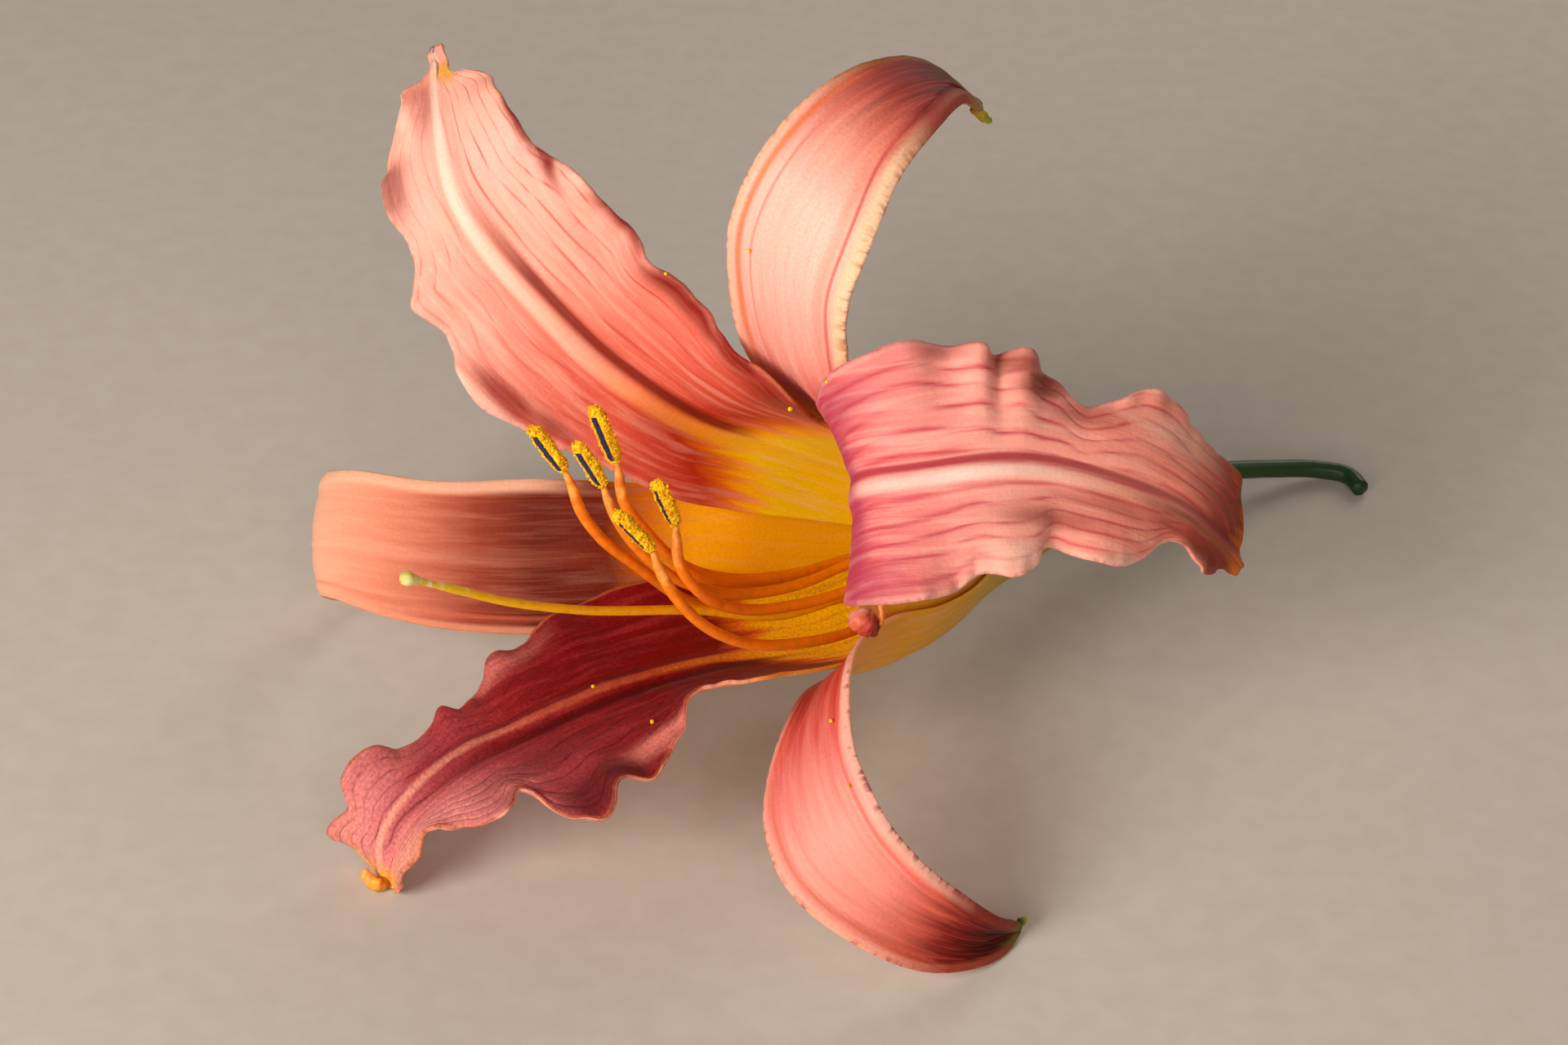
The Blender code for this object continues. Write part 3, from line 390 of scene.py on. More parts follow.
def smooth(x, stations, values):
    """A curve through the values at the stations, read at x."""
    stations = np.asarray(stations, float)
    values = np.asarray(values, float)
    slopes = np.gradient(values, stations, axis=0)
    x = np.clip(x, stations[0], stations[-1])
    left = np.clip(np.searchsorted(stations, x) - 1, 0, len(stations) - 2)
    step = stations[left + 1] - stations[left]
    u = (x - stations[left]) / step
    if values.ndim > 1:
        u = u[:, None]
        step = step[:, None]
    ends = (1 + 2 * u) * (1 - u) ** 2 * values[left] + u ** 2 * (3 - 2 * u) * values[left + 1]
    return ends + step * u * (1 - u) * ((1 - u) * slopes[left] - u * slopes[left + 1])


def ease(x, start, end):
    """From 0 at the start to 1 at the end, gently."""
    u = np.clip((x - start) / (end - start), 0, 1)
    return u * u * (3 - 2 * u)


def hump(away, half_width):
    """A rounded ridge, 1 at its middle and almost nothing two half widths away."""
    return np.exp(-(away / half_width) ** 2)


def circle(sides):
    """The angles of a closed ring with this many sides, its first one again at its end."""
    return np.linspace(0, 2 * math.pi, sides + 1)


def unit(vectors):
    """The vectors at length one."""
    return vectors / np.linalg.norm(vectors, axis=-1, keepdims=True)


def lengths_along(points):
    """How far along the points each one is."""
    return np.concatenate([[0], np.cumsum(np.linalg.norm(np.diff(points, axis=0), axis=1))])


def along_route(points, shares):
    """Points and directions at these shares of the length of a smooth curve through the points."""
    points = np.asarray(points, float)
    chords = lengths_along(points)
    fine = smooth(np.linspace(0, chords[-1], ROUTE_POINTS), chords, points)
    lengths = lengths_along(fine)
    slopes = unit(np.gradient(fine, lengths, axis=0))
    at = np.asarray(shares) * lengths[-1]
    placed = np.stack([np.interp(at, lengths, fine[:, k]) for k in range(points.shape[1])], -1)
    aimed = np.stack([np.interp(at, lengths, slopes[:, k]) for k in range(points.shape[1])], -1)
    return placed, unit(aimed), lengths[-1]


def centre_line(heights):
    """How far the throat's centre is from the flower's axis at these heights, as (across, up)."""
    sag = smooth(heights, SAG_HEIGHTS, SAG_AMOUNTS)
    turn = math.radians(SAG_AZIMUTH)
    return sag * math.cos(turn), sag * math.sin(turn)


def flower_frame():
    """The flower's frame in the room: its columns point across, up and out along the axis."""
    heading = math.radians(AXIS_HEADING)
    rise = math.radians(AXIS_RISE)
    out = Vector((math.cos(rise) * math.cos(heading), math.cos(rise) * math.sin(heading), math.sin(rise)))
    level = Vector((-math.sin(heading), math.cos(heading), 0))
    across = (Matrix.Rotation(math.radians(AXIS_TURN), 3, out) @ level).normalized()
    up = out.cross(across)
    return np.array(Matrix((across, up, out)))


FLOWER = flower_frame()


def in_room(points, azimuth=0.0):
    """Points of the flower's frame, or of a blade's own turned to its azimuth, in the room."""
    turn = math.radians(azimuth)
    x, y, z = np.moveaxis(np.asarray(points, float), -1, 0)
    turned = np.stack([
        x * math.cos(turn) - y * math.sin(turn),
        x * math.sin(turn) + y * math.cos(turn),
        z,
    ], -1)
    return turned @ FLOWER + np.array(RIM_CENTRE)


def rough(points, size, seed=0):
    """Smooth noise from -1 to 1 at points, with bumps of about this size."""
    flat = np.asarray(points, float).reshape(-1, 3) / size + seed
    return np.array([noise.noise(Vector(point)) for point in flat]).reshape(np.shape(points)[:-1])


def half_widths(blade, shares):
    """A blade's half widths on its clockwise and anticlockwise side, waves of the margin included."""
    half = [smooth(shares, SHARES, blade[key]) for key in ("clockwise", "anticlockwise")]
    for side, waves in enumerate(blade.get("waves", ())):
        stops, stand, lift = np.array(waves, float).T
        half[side] = half[side] + smooth(shares, stops, stand)
    return [widths[:, None] for widths in half]


def blade_sheet(blade, shares, columns):
    """The middle surface of a petal or sepal, as rows of (outwards, sideways, height) in its own plane."""
    throat = PETAL_THROAT if "waves" in blade else SEPAL_THROAT
    route = [(out, side, height) for height, out, side in throat + blade["route"]]
    rib, along, length = along_route(route, shares)
    half = half_widths(blade, shares)
    sideways = np.zeros_like(rib)
    sideways[:, 1] = 1
    sideways = unit(sideways - (sideways * along).sum(-1, keepdims=True) * along)
    inwards = np.cross(along, sideways)
    section = np.array(blade["section"], float)
    angles = np.radians(smooth(shares, section[:, 0], section[:, 1:]))
    across = columns[None, :]
    out = np.zeros((len(shares), len(columns)))
    lift = np.zeros_like(out)
    for side, sign in enumerate((-1, 1)):
        share = np.clip(sign * across, 0, 1)
        fold = angles[:, 2 * side][:, None]
        curl = angles[:, 2 * side + 1][:, None]
        curl = np.where(np.abs(curl) < 0.001, 0.001, curl)
        out += sign * half[side] * (np.sin(fold + curl * share) - np.sin(fold)) / curl
        lift += half[side] * (np.cos(fold) - np.cos(fold + curl * share)) / curl
    spread = rib[:, None, :] + sideways[:, None, :] * out[..., None] + inwards[:, None, :] * lift[..., None]
    radius, aside, height = rib.T
    width = np.where(across < 0, half[0], half[1]) * across
    widest = math.radians(WIDEST_TURN)
    turn = np.clip(width / radius[:, None], -widest, widest)
    rounded = np.stack([
        radius[:, None] * np.cos(turn),
        radius[:, None] * np.sin(turn) + aside[:, None],
        height[:, None] + 0 * turn,
    ], -1)
    free = ease(shares * length, THROAT_END, FREE_START)[:, None, None]
    sag = smooth(height, SAG_HEIGHTS, SAG_AMOUNTS)
    turn = math.radians(SAG_AZIMUTH - blade["azimuth"])
    shift = np.stack([sag * math.cos(turn), sag * math.sin(turn), 0 * sag], -1)[:, None, :]
    return rounded * (1 - free) + spread * free + shift * (1 - free), width, length


def inner_normals(sheet):
    """Which way is inwards, square to the sheet."""
    return -unit(np.cross(np.gradient(sheet, axis=1), np.gradient(sheet, axis=0)))


def waved(sheet, blade, shares, columns):
    """The sheet with its margins lifted and dipped along their waves."""
    normals = inner_normals(sheet)
    for sign, waves in zip((-1, 1), blade["waves"]):
        stops, stand, lift = np.array(waves, float).T
        edge = np.clip(sign * columns, 0, 1) ** WAVE_DEPTH
        sheet = sheet + normals * smooth(shares, stops, lift)[:, None, None] * edge[None, :, None]
    return sheet


def rounded_rib(sheet, columns):
    """The sheet with the crease along its midrib eased into a narrow round."""
    near = 0.5 * hump(columns[1:-1], RIB_ROUNDING)[None, :, None]
    for turn in range(RIB_PASSES):
        sheet = sheet.copy()
        middle = (sheet[:, :-2] + sheet[:, 2:]) / 2
        sheet[:, 1:-1] += near * (middle - sheet[:, 1:-1])
    return sheet


def vein_fan(form, across, along, rib, seed):
    """A number that grows by one from each vein to the next, with the veins wandering a little."""
    flat = np.stack([rib, along, 0 * along], -1) * VEIN_WANDER_STRETCH
    return across * form["veins"] + VEIN_WANDER * rough(flat, VEIN_WANDER_SIZE, seed + 5)


def patches(spots, aside, along):
    """How strongly each point is marked by (mm along, mm aside, half length, half width, strength)."""
    marked = 0 * aside
    for far, beside, half_length, half_width, strength in spots:
        away = ((along - far) / half_length) ** 2 + ((aside - beside) / half_width) ** 2
        marked = np.maximum(marked, strength * np.exp(-away ** 1.5))
    return marked


def relief(form, across, along, rib, margin, fan, seed):
    """How far the skin stands up from the blade's plain form, at mm from the rib and from the margin."""
    beside = np.abs(rib)
    crimps = np.stack([along, np.sign(across) * MARGINS_APART, 0 * along], -1)
    if "waves" in form:
        flat = np.stack([rib, along, 0 * along], -1)
        deep = np.where(rib * form["shaded"] > 0, SHADED_GROOVE, PLAIN_GROOVE)
        height = RIB_HEIGHT * hump(beside, RIB_HALF_WIDTH)
        height -= deep * hump(beside - GROOVE_ASIDE, GROOVE_HALF_WIDTH)
        height -= form["vein_depth"] * hump(fan - np.round(fan), VEIN_HALF_SHARE) * ease(beside, *VEINS_START)
        pucker = rough(flat * PUCKER_STRETCH, WIDE_PUCKER, seed) + 0.5 * rough(flat, FINE_PUCKER, seed + 9)
        near = np.clip(1 - margin / CRIMPED_WIDTH, 0, 1) ** 1.5
        height += form["pucker"] * pucker + form["crimp"] * rough(crimps, PETAL_CRIMP, seed + 3) * near
    else:
        height = -FURROW_DEPTH * hump(beside, FURROW_HALF_WIDTH)
        ridge, seam = [tall * hump(margin - inside, half) for inside, half, tall in (LIP_RIDGE, LIP_SEAM)]
        crimped = LIP_CRIMP * rough(crimps, SEPAL_CRIMP, seed + 3) * np.clip(1 - margin / LIP_WIDTH, 0, 1)
        height += (ridge - seam + crimped) * np.where(across < 0, *form["lip"])
    return height * ease(along, *RELIEF_START)


def deselect():
    """Leaves nothing selected."""
    bpy.ops.object.select_all(action="DESELECT")


def moulded_grid(name, columns, rows, places):
    """A grid with this many faces across and along, moulded to places[row, column] in the room."""
    deselect()
    bpy.ops.mesh.primitive_grid_add(x_subdivisions=columns, y_subdivisions=rows, size=2, calc_uvs=True)
    made = bpy.context.object
    made.name = name
    made.data.name = name
    made.data.vertices.foreach_set("co", (places * MM).astype(np.float32).ravel())
    rest_on_floor(made)
    return made


def rest_on_floor(made):
    """Flattens what would sink under the floor onto it."""
    corners = np.empty(len(made.data.vertices) * 3, np.float32)
    made.data.vertices.foreach_get("co", corners)
    corners[2::3] = np.maximum(corners[2::3], 0)
    made.data.vertices.foreach_set("co", corners)
    made.data.update()


def own_values(made, name, *values):
    """Keeps three numbers for each point, for the materials to read."""
    layer = made.data.attributes.new(name, "FLOAT_VECTOR", "POINT")
    layer.data.foreach_set("vector", np.stack(values, -1).astype(np.float32).ravel())


def belongs(made, node=None):
    """Hides the solid that a piece stands for, if one is named, and hangs the piece on the root."""
    if node:
        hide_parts(node)
    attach(made, "root")


def close_up(made, finish):
    """Merges a rolled grid's seams and poles, turns its faces outwards and gives it its finish."""
    deselect()
    made.select_set(True)
    bpy.context.view_layer.objects.active = made
    bpy.ops.object.mode_set(mode="EDIT")
    bpy.ops.mesh.select_all(action="SELECT")
    bpy.ops.mesh.remove_doubles(threshold=SEAM_GAP)
    bpy.ops.mesh.normals_make_consistent(inside=False)
    bpy.ops.object.mode_set(mode="OBJECT")
    made.data.materials.append(finish)
    made.data.shade_smooth()


def add_blade(name, finishes, seed):
    """A petal or sepal: a moulded grid with a wall, its outer and inner faces each in their own finish."""
    form = BLADES[name]
    petal = "waves" in form
    wide, long = PETAL_GRID if petal else SEPAL_GRID
    shares = np.linspace(0, 1, long + 1)
    columns = np.linspace(-1, 1, wide + 1)
    sheet, aside, length = blade_sheet(form, shares, columns)
    if petal:
        sheet = waved(sheet, form, shares, columns)
    sheet = rounded_rib(sheet, columns)
    across = columns[None, :] + 0 * shares[:, None]
    along = shares[:, None] * length + 0 * across
    half = half_widths(form, shares)
    margin = np.where(across < 0, half[0] + aside, half[1] - aside)
    fan = vein_fan(form, across, along, aside, seed)
    stops, wander = np.array(form.get("rib", [(0, 0), (1, 0)]), float).T
    rib = aside - smooth(shares, stops, wander)[:, None]
    sheet = sheet + inner_normals(sheet) * relief(form, across, along, rib, margin, fan, seed)[..., None]
    made = moulded_grid(name + "_fine", wide, long, in_room(sheet, form["azimuth"]))
    own_values(made, "place", across, along / length, margin)
    own_values(made, "size", rib, along, fan)
    # Patches of painted shade (dark), painted highlight (pale) and tinge, for the finish to read.
    painted_shade_highlight_and_tinge = [patches(form.get(key, ()), aside, along) for key in ("dark", "pale", "tinged")]
    own_values(made, "painted_shade_highlight_and_tinge", *painted_shade_highlight_and_tinge)
    group = made.vertex_groups.new(name="thickness")
    for column, share in enumerate(np.abs(columns)):
        thick = MARGIN_SHARE + (LAMINA_SHARE - MARGIN_SHARE) * (1 - share)
        thick += (1 - LAMINA_SHARE) * max(0.0, 1 - share / MIDRIB_SHARE)
        thick += (LIP_SHARE - MARGIN_SHARE) * ease(share, LIP_START, 1)
        group.add([row * (wide + 1) + column for row in range(long + 1)], thick, "REPLACE")
    for finish in finishes:
        made.data.materials.append(finish)
    wall = made.modifiers.new("wall", "SOLIDIFY")
    wall.thickness = BLADE_THICKNESS * MM
    wall.offset = 0
    wall.vertex_group = group.name
    wall.material_offset = 1
    bpy.ops.object.modifier_apply(modifier=wall.name)
    rest_on_floor(made)
    made.data.shade_smooth()
    belongs(made, name)


def rod_places(points, aims, radii, sides, outline=None):
    """Rings of points square to a route, with an outline of (share across, share deep) or a circle."""
    turns = circle(sides)
    if outline is None:
        outline = np.stack([np.cos(turns), np.sin(turns)], -1)
    across = np.cross(aims[0], (0.0, 0.0, 1.0))
    if np.linalg.norm(across) < 0.1:
        across = np.cross(aims[0], (0.0, 1.0, 0.0))
    rings = []
    for point, aim, radius in zip(points, aims, radii):
        across = across - aim * across.dot(aim)
        across = across / np.linalg.norm(across)
        deep = np.cross(aim, across)
        rings.append(point + radius * (outline[:, :1] * across + outline[:, 1:] * deep))
    rings[0][:] = rings[0].mean(0)
    rings[-1][:] = rings[-1].mean(0)
    return np.array(rings)


def linear(colour):
    """An sRGB hex colour as linear red, green, blue and alpha."""
    parts = [int(colour[k:k + 2], 16) / 255 for k in (1, 3, 5)]
    return (*[part / 12.92 if part <= 0.04045 else ((part + 0.055) / 1.055) ** 2.4 for part in parts], 1)


def plug(tree, socket, value):
    """Links an output, or a node's first one, to the socket, or sets the socket's plain value."""
    if isinstance(value, bpy.types.Node):
        value = value.outputs[0]
    if isinstance(value, bpy.types.NodeSocket):
        tree.links.new(value, socket)
    else:
        socket.default_value = value


def add(tree, kind, links=(), stops=(), **settings):
    """Adds a node with its settings, links or plain values by socket, and a ramp's (place, colour) stops."""
    made = tree.nodes.new("ShaderNode" + kind)
    for key, value in settings.items():
        setattr(made, key, value)
    for socket, value in dict(links).items():
        plug(tree, made.inputs[socket], value)
    for number, (place, colour) in enumerate(stops):
        points = made.color_ramp.elements
        if 0 < number < len(stops) - 1:
            point = points.new(place)
        else:
            point = points[-1 if number else 0]
            point.position = place
        point.color = linear(colour)
    return made


def new_finish(name):
    """A new material and its node tree."""
    made = bpy.data.materials.new(name)
    made.use_nodes = True
    return made, made.node_tree


def own_numbers(tree, name):
    """The three numbers that a piece keeps for each point under this name."""
    kept = add(tree, "Attribute", attribute_name=name)
    return add(tree, "SeparateXYZ", {0: kept.outputs["Vector"]}).outputs


def settle(tree, **values):
    """Sets or links the shader's sockets, with underscores for the spaces in their names."""
    for key, value in values.items():
        plug(tree, tree.nodes["Principled BSDF"].inputs[key.replace("_", " ")], value)


def band(tree, run, middle, inner, outer, strength):
    """This strength up to the inner distance from the middle of a run, easing to nothing at the outer one."""
    away = add(tree, "Math", {0: run, 1: middle}, operation="SUBTRACT")
    away = add(tree, "Math", {0: away}, operation="ABSOLUTE")
    return add(tree, "MapRange", {0: away, 1: inner, 2: outer, 3: strength, 4: 0.0}, **EASED)


def blade_finish(name, ramp, rib, edges, streak, vein, fleck, tip, dark="#8C1C0E", pale="#FFD0BC",
                 tinge="#F0A820", lines=(), groove=None, side_shifts=(0.0, 0.0), reach=0.04, wobble=0.02,
                 mottle=0.3, veins=(0.5, 0.5), vein_width=0.15, rib_width=1.6, rib_strength=0.85,
                 tip_start=0.97, tip_dark=0.98, flecked=0.7, speckled=0.08, glow=0.3, shine=0.3):
    """The living skin of a petal or sepal: thin, moist, lit from within, with veins and a speckle of cells.

    The ramp and the rib's colours run along the blade, 0 at the tube and 1 at the tip. Side shifts, reach
    and wobble move the ramp at the sides, at the midrib and by streaks. For each side, edges hold (mm wide,
    strength, colour, colour by the tip) and veins a strength. Lines hold (side, mm from the margin, half
    width, strength, colour), and the groove (mm from the midrib, half width, where it fades, colour) is a
    band of painted shade beside the midrib. Dark paints shade on the blade's dark patches, pale paints
    highlights on its pale patches, and tinge colours its tinged patches."""
    made, tree = new_finish(name)
    across, along, margin = own_numbers(tree, "place")
    size = add(tree, "Attribute", attribute_name="size").outputs["Vector"]
    parts = add(tree, "SeparateXYZ", {0: size}).outputs
    aside, fan = parts[0], parts[2]
    sides = [add(tree, "Math", {0: across, 1: 0.0}, operation=kind) for kind in ("LESS_THAN", "GREATER_THAN")]
    stretched, flat, crosswise = [add(tree, "Mapping", {"Vector": size, "Scale": scale}) for scale in
                                  ((1, STREAK_STRETCH, 0), (1, 1, 0), (CRIMP_STRETCH, 1, 0))]
    streaks = add(tree, "TexNoise", {"Vector": stretched, "Scale": STREAKS_PER_MM, "Detail": 4.0})
    crimps = add(tree, "TexNoise", {"Vector": crosswise, "Scale": STREAKS_PER_MM, "Detail": 4.0})
    ridges = add(tree, "TexNoise", {"Vector": stretched, "Scale": RIDGES_PER_MM, "Detail": 2.0})
    cells = add(tree, "TexNoise", {"Vector": flat, "Scale": CELLS_PER_MM, "Detail": 4.0, "Roughness": 0.65})
    grain = add(tree, "TexNoise", {"Vector": flat, "Scale": GRAIN_PER_MM, "Detail": 5.0, "Roughness": 0.6})

    uneven = add(tree, "MapRange", {0: streaks, **SPREAD, 3: -wobble, 4: wobble})
    shifts = [band(tree, aside, 0.0, 0.0, RIB_REACH, -reach), uneven]
    for start, end, low, high in ((-SIDE_REACH, 0, side_shifts[0], 0), (0, SIDE_REACH, 0, side_shifts[1])):
        shifts.append(add(tree, "MapRange", {0: aside, 1: start, 2: end, 3: low, 4: high}, **EASED))
    shifted = along
    for shift in shifts:
        shifted = add(tree, "Math", {0: shifted, 1: shift}, operation="ADD")
    colour = add(tree, "ValToRGB", {0: shifted}, stops=ramp)
    free = add(tree, "MapRange", {0: shifted, **EYE_ZONE_END}, **EASED)

    # Each layer is a colour and the shares whose product says how far it covers what is under it.
    fade = (tip_dark - TIP_FADE, tip_dark)
    before_tip = add(tree, "MapRange", {0: along, 1: fade[0], 2: fade[1], 3: 1.0, 4: 0.0})
    streaky = add(tree, "MapRange", {0: streaks, 1: 0.48, 2: 0.66, 4: mottle})
    midway = add(tree, "Math", {0: fan, 1: 0.5}, operation="PINGPONG")
    broken = add(tree, "MapRange", {0: streaks, 1: 0.4, 2: 0.58, 3: 1.0, 4: 0.2})
    strong = add(tree, "MapRange", {0: across, 1: -0.05, 2: 0.05, 3: veins[0], 4: veins[1]})
    layers = [(streak, streaky, before_tip),
              (vein, band(tree, midway, 0.0, 0.0, vein_width, 1.0), broken, strong, free)]
    for side, middle, width, strength, shade in lines:
        drawn = band(tree, margin, middle, 0.0, width, strength)
        layers.append((shade, drawn, sides[side > 0], before_tip, free))
    # The groove's colour is painted shade: a dark band beside the midrib, where the groove lies in shade.
    if groove:
        middle, width, (whole, gone), shade = groove
        fading = add(tree, "MapRange", {0: along, 1: whole, 2: gone, 3: 1.0, 4: 0.0})
        opens = add(tree, "MapRange", {0: along, 1: 0.37, 2: 0.42})
        layers.append((shade, band(tree, aside, middle, width * 0.3, width, 0.9), fading, opens))
    narrows = add(tree, "MapRange", {0: along, 1: 0.5, 2: 1.0, 3: rib_width, 4: rib_width * 0.5})
    widths = add(tree, "Math", {0: aside, 1: narrows}, operation="DIVIDE")
    starts = add(tree, "MapRange", {0: along, 1: rib[0][0] - 0.05, 2: rib[0][0]})
    rib_shade = add(tree, "ValToRGB", {0: along}, stops=rib)
    layers.append((rib_shade, band(tree, widths, 0.0, 0.2, 1.0, rib_strength), starts))
    crimped = add(tree, "MapRange", {0: crimps, 1: 0.5, 2: 0.6, 4: flecked})
    for side, (width, strength, *shades) in zip(sides, edges):
        shade = add(tree, "ValToRGB", {0: along}, stops=list(zip(fade, shades)))
        outer = add(tree, "MapRange", {0: margin, 1: 0.15, 2: width * 0.55, 3: strength, 4: 0.0})
        layers.append((shade, band(tree, margin, 0.0, width * 0.5, width, strength), side, free))
        layers.append((fleck, outer, crimped, side, free))
    ripe = add(tree, "Math", {0: along, 1: uneven}, operation="ADD")
    layers.append((tip, add(tree, "MapRange", {0: ripe, 1: tip_start, 2: tip_start + 0.03, 3: 0.0, 4: 0.9})))
    patchy = add(tree, "MapRange", {0: streaks, 1: 0.35, 2: 0.6, 3: 0.8, 4: 1.15})
    # The dark patches are painted shade in folds and hollows, the pale ones painted highlights on raised
    # lips.
    layers += [(shade, mark, patchy) for shade, mark in zip((dark, pale, tinge), own_numbers(tree, "painted_shade_highlight_and_tinge"))]
    for shade, covered, *shares in layers:
        for share in shares:
            covered = add(tree, "Math", {0: covered, 1: share}, operation="MULTIPLY", use_clamp=True)
        shade = linear(shade) if isinstance(shade, str) else shade
        colour = add(tree, "MixRGB", {"Fac": covered, "Color1": colour, "Color2": shade})

    speckle = add(tree, "MapRange", {0: cells, **SPREAD, 3: 1 - speckled, 4: 1 + speckled})
    uneven_shine = add(tree, "MapRange", {0: cells, **SPREAD, 3: 0.42, 4: 0.62})
    both = add(tree, "Math", {0: grain, 1: ridges}, operation="ADD")
    settle(tree, Base_Color=add(tree, "VectorMath", {0: colour, 1: speckle}, operation="MULTIPLY"),
           Roughness=uneven_shine, Specular_IOR_Level=shine, IOR=1.42,
           Normal=add(tree, "Bump", {"Height": both, "Strength": 0.3, "Distance": 0.3 * MM}),
           Subsurface_Weight=glow, Subsurface_Radius=(1.0, 0.42, 0.22), Subsurface_Scale=1.4 * MM,
           Sheen_Weight=0.03, Sheen_Roughness=0.5)
    return made


def plain_finish(name, stops, ends=(0.0, 1.0), roughness=0.5, glow=0.25, shine=0.4):
    """A fleshy skin with a fine grain, whose colour runs along a rod or up a height between these ends."""
    made, tree = new_finish(name)
    run = own_numbers(tree, "place")[1]
    there = add(tree, "TexCoord").outputs["Object"]
    grain = add(tree, "TexNoise", {"Vector": there, "Scale": ROD_GRAIN_PER_MM / MM, "Detail": 4.0})
    shift = add(tree, "MapRange", {0: grain, **SPREAD, 3: -0.05, 4: 0.05})
    run = add(tree, "MapRange", {0: run, 1: ends[0], 2: ends[1]})
    run = add(tree, "Math", {0: run, 1: shift}, operation="ADD")
    colour = add(tree, "ValToRGB", {0: run}, stops=stops)
    shade = add(tree, "MapRange", {0: grain, **SPREAD, 3: 0.85, 4: 1.12})
    settle(tree, Base_Color=add(tree, "VectorMath", {0: colour, 1: shade}, operation="MULTIPLY"),
           Normal=add(tree, "Bump", {"Height": grain, "Strength": 0.2, "Distance": 0.2 * MM}),
           Roughness=roughness, Specular_IOR_Level=shine, Subsurface_Weight=glow,
           Subsurface_Radius=(1.0, 0.5, 0.2), Subsurface_Scale=MM)
    return made


def anther_finish():
    """Ripe pollen, a dry golden dust, round a bare blue-black slit with a slight shine."""
    made, tree = new_finish("ripe pollen and dark slit")
    slit = own_numbers(tree, "place")[0]
    there = add(tree, "TexCoord").outputs["Object"]
    grain = add(tree, "TexNoise", {"Vector": there, "Scale": DUST_PER_MM / MM, "Detail": 3.0})
    ragged = add(tree, "MapRange", {0: grain, **SPREAD, 3: -0.25, 4: 0.25})
    ragged = add(tree, "Math", {0: slit, 1: ragged}, operation="ADD")
    bare = add(tree, "MapRange", {0: ragged, 1: 0.5, 2: 0.6})
    gold = add(tree, "ValToRGB", {0: grain}, stops=[(0.3, "#B87400"), (0.46, "#F0B000"), (0.68, "#FFDC20")])
    dark = add(tree, "ValToRGB", {0: grain}, stops=[(0.3, "#0C0C1C"), (0.7, "#2C2E58")])
    settle(tree, Base_Color=add(tree, "MixRGB", {"Fac": bare, "Color1": gold, "Color2": dark}),
           Roughness=add(tree, "MapRange", {0: bare, 3: 0.85, 4: 0.38}), Specular_IOR_Level=0.3,
           Normal=add(tree, "Bump", {"Height": grain, "Strength": 0.6, "Distance": 0.15 * MM}))
    return made


def floor_finish():
    """A matt pale board, smooth with a faint tooth."""
    made, tree = new_finish("matt pale board")
    there = add(tree, "TexCoord").outputs["Object"]
    grain = add(tree, "TexNoise", {"Vector": there, "Scale": BOARD_TOOTH_PER_MM / MM, "Detail": 3.0})
    colour = add(tree, "ValToRGB", {0: grain}, stops=[(0.35, "#CDC4BA"), (0.65, "#D1C9BF")])
    settle(tree, Base_Color=colour, Roughness=0.75, Specular_IOR_Level=0.25)
    return made


def rounded_radii(radii, steps, end):
    """The radii with both ends rounded off over this length, almost to a point."""
    near = np.clip(np.minimum(steps, steps[-1] - steps) / end, 0, 1)
    return radii * np.sqrt(np.clip(1 - (1 - near) ** 2, 0.0001, 1))


def rod(name, points, aims, radii, steps, sides, finish, node=None, outline=None, bumps=0.0):
    """A closed rod of flesh along a route, moulded from a rolled grid. Points are in the flower's frame."""
    places = rod_places(points, aims, radii, sides, outline)
    if bumps:
        middle = points[:, None, :]
        places = places + (places - middle) * bumps * rough(places, CURL_BUMP_SIZE)[..., None]
    made = moulded_grid(name + "_fine", sides, len(steps) - 1, in_room(places))
    share = steps[:, None] / steps[-1] + 0 * places[..., 0]
    own_values(made, "place", 0 * share, share, share * steps[-1])
    close_up(made, finish)
    belongs(made, node)


def add_curl(name, places, finish):
    """A small curl or hook of skin through (x, y, z, radius) in the room, where a margin or tip rolls up."""
    places = np.array(places, float)
    points = (places[:, :3] - np.array(RIM_CENTRE)) @ FLOWER.T
    chords = lengths_along(points)
    shares = np.linspace(0, 1, CURL_RINGS + 1)
    placed, aimed, length = along_route(points, shares)
    radii = rounded_radii(smooth(shares * chords[-1], chords, places[:, 3]), shares * length, CURL_ROUNDING)
    rod(name, placed, aimed, radii, shares * length, CURL_SIDES, finish, bumps=CURL_BUMPS)


def add_tube(finish):
    """The short hollow foot of the flower, in one loop up the outside and down the bore."""
    profile = np.array(TUBE_OUTSIDE + TUBE_BORE, float)
    lengths = lengths_along(profile)
    up, down = TUBE_RINGS
    rim = len(TUBE_OUTSIDE) - 1
    steps = np.append(np.linspace(lengths[0], lengths[rim], up),
                      np.linspace(lengths[rim + 1], lengths[-1], down))
    heights = np.interp(steps, lengths, profile[:, 0])
    radii = np.interp(steps, lengths, profile[:, 1])
    radii[:up] = smooth(heights[:up], *np.array(TUBE_OUTSIDE, float).T)
    heights = np.append(heights, heights[0])
    radii = np.append(radii, radii[0])[:, None]
    turns = circle(TUBE_SIDES)
    across, rise = centre_line(heights)
    radii = radii * (1 + TUBE_RIB_SHARE * np.cos(TUBE_RIBS * turns) * (radii > TUBE_RIBBED_FROM))
    x = across[:, None] + radii * np.cos(turns)
    y = rise[:, None] + radii * np.sin(turns)
    z = heights[:, None] + 0 * x
    made = moulded_grid("flower_tube_fine", TUBE_SIDES, len(heights) - 1, in_room(np.stack([x, y, z], -1)))
    own_values(made, "place", turns + 0 * z, z, 0 * z)
    close_up(made, finish)
    belongs(made, "flower_tube")


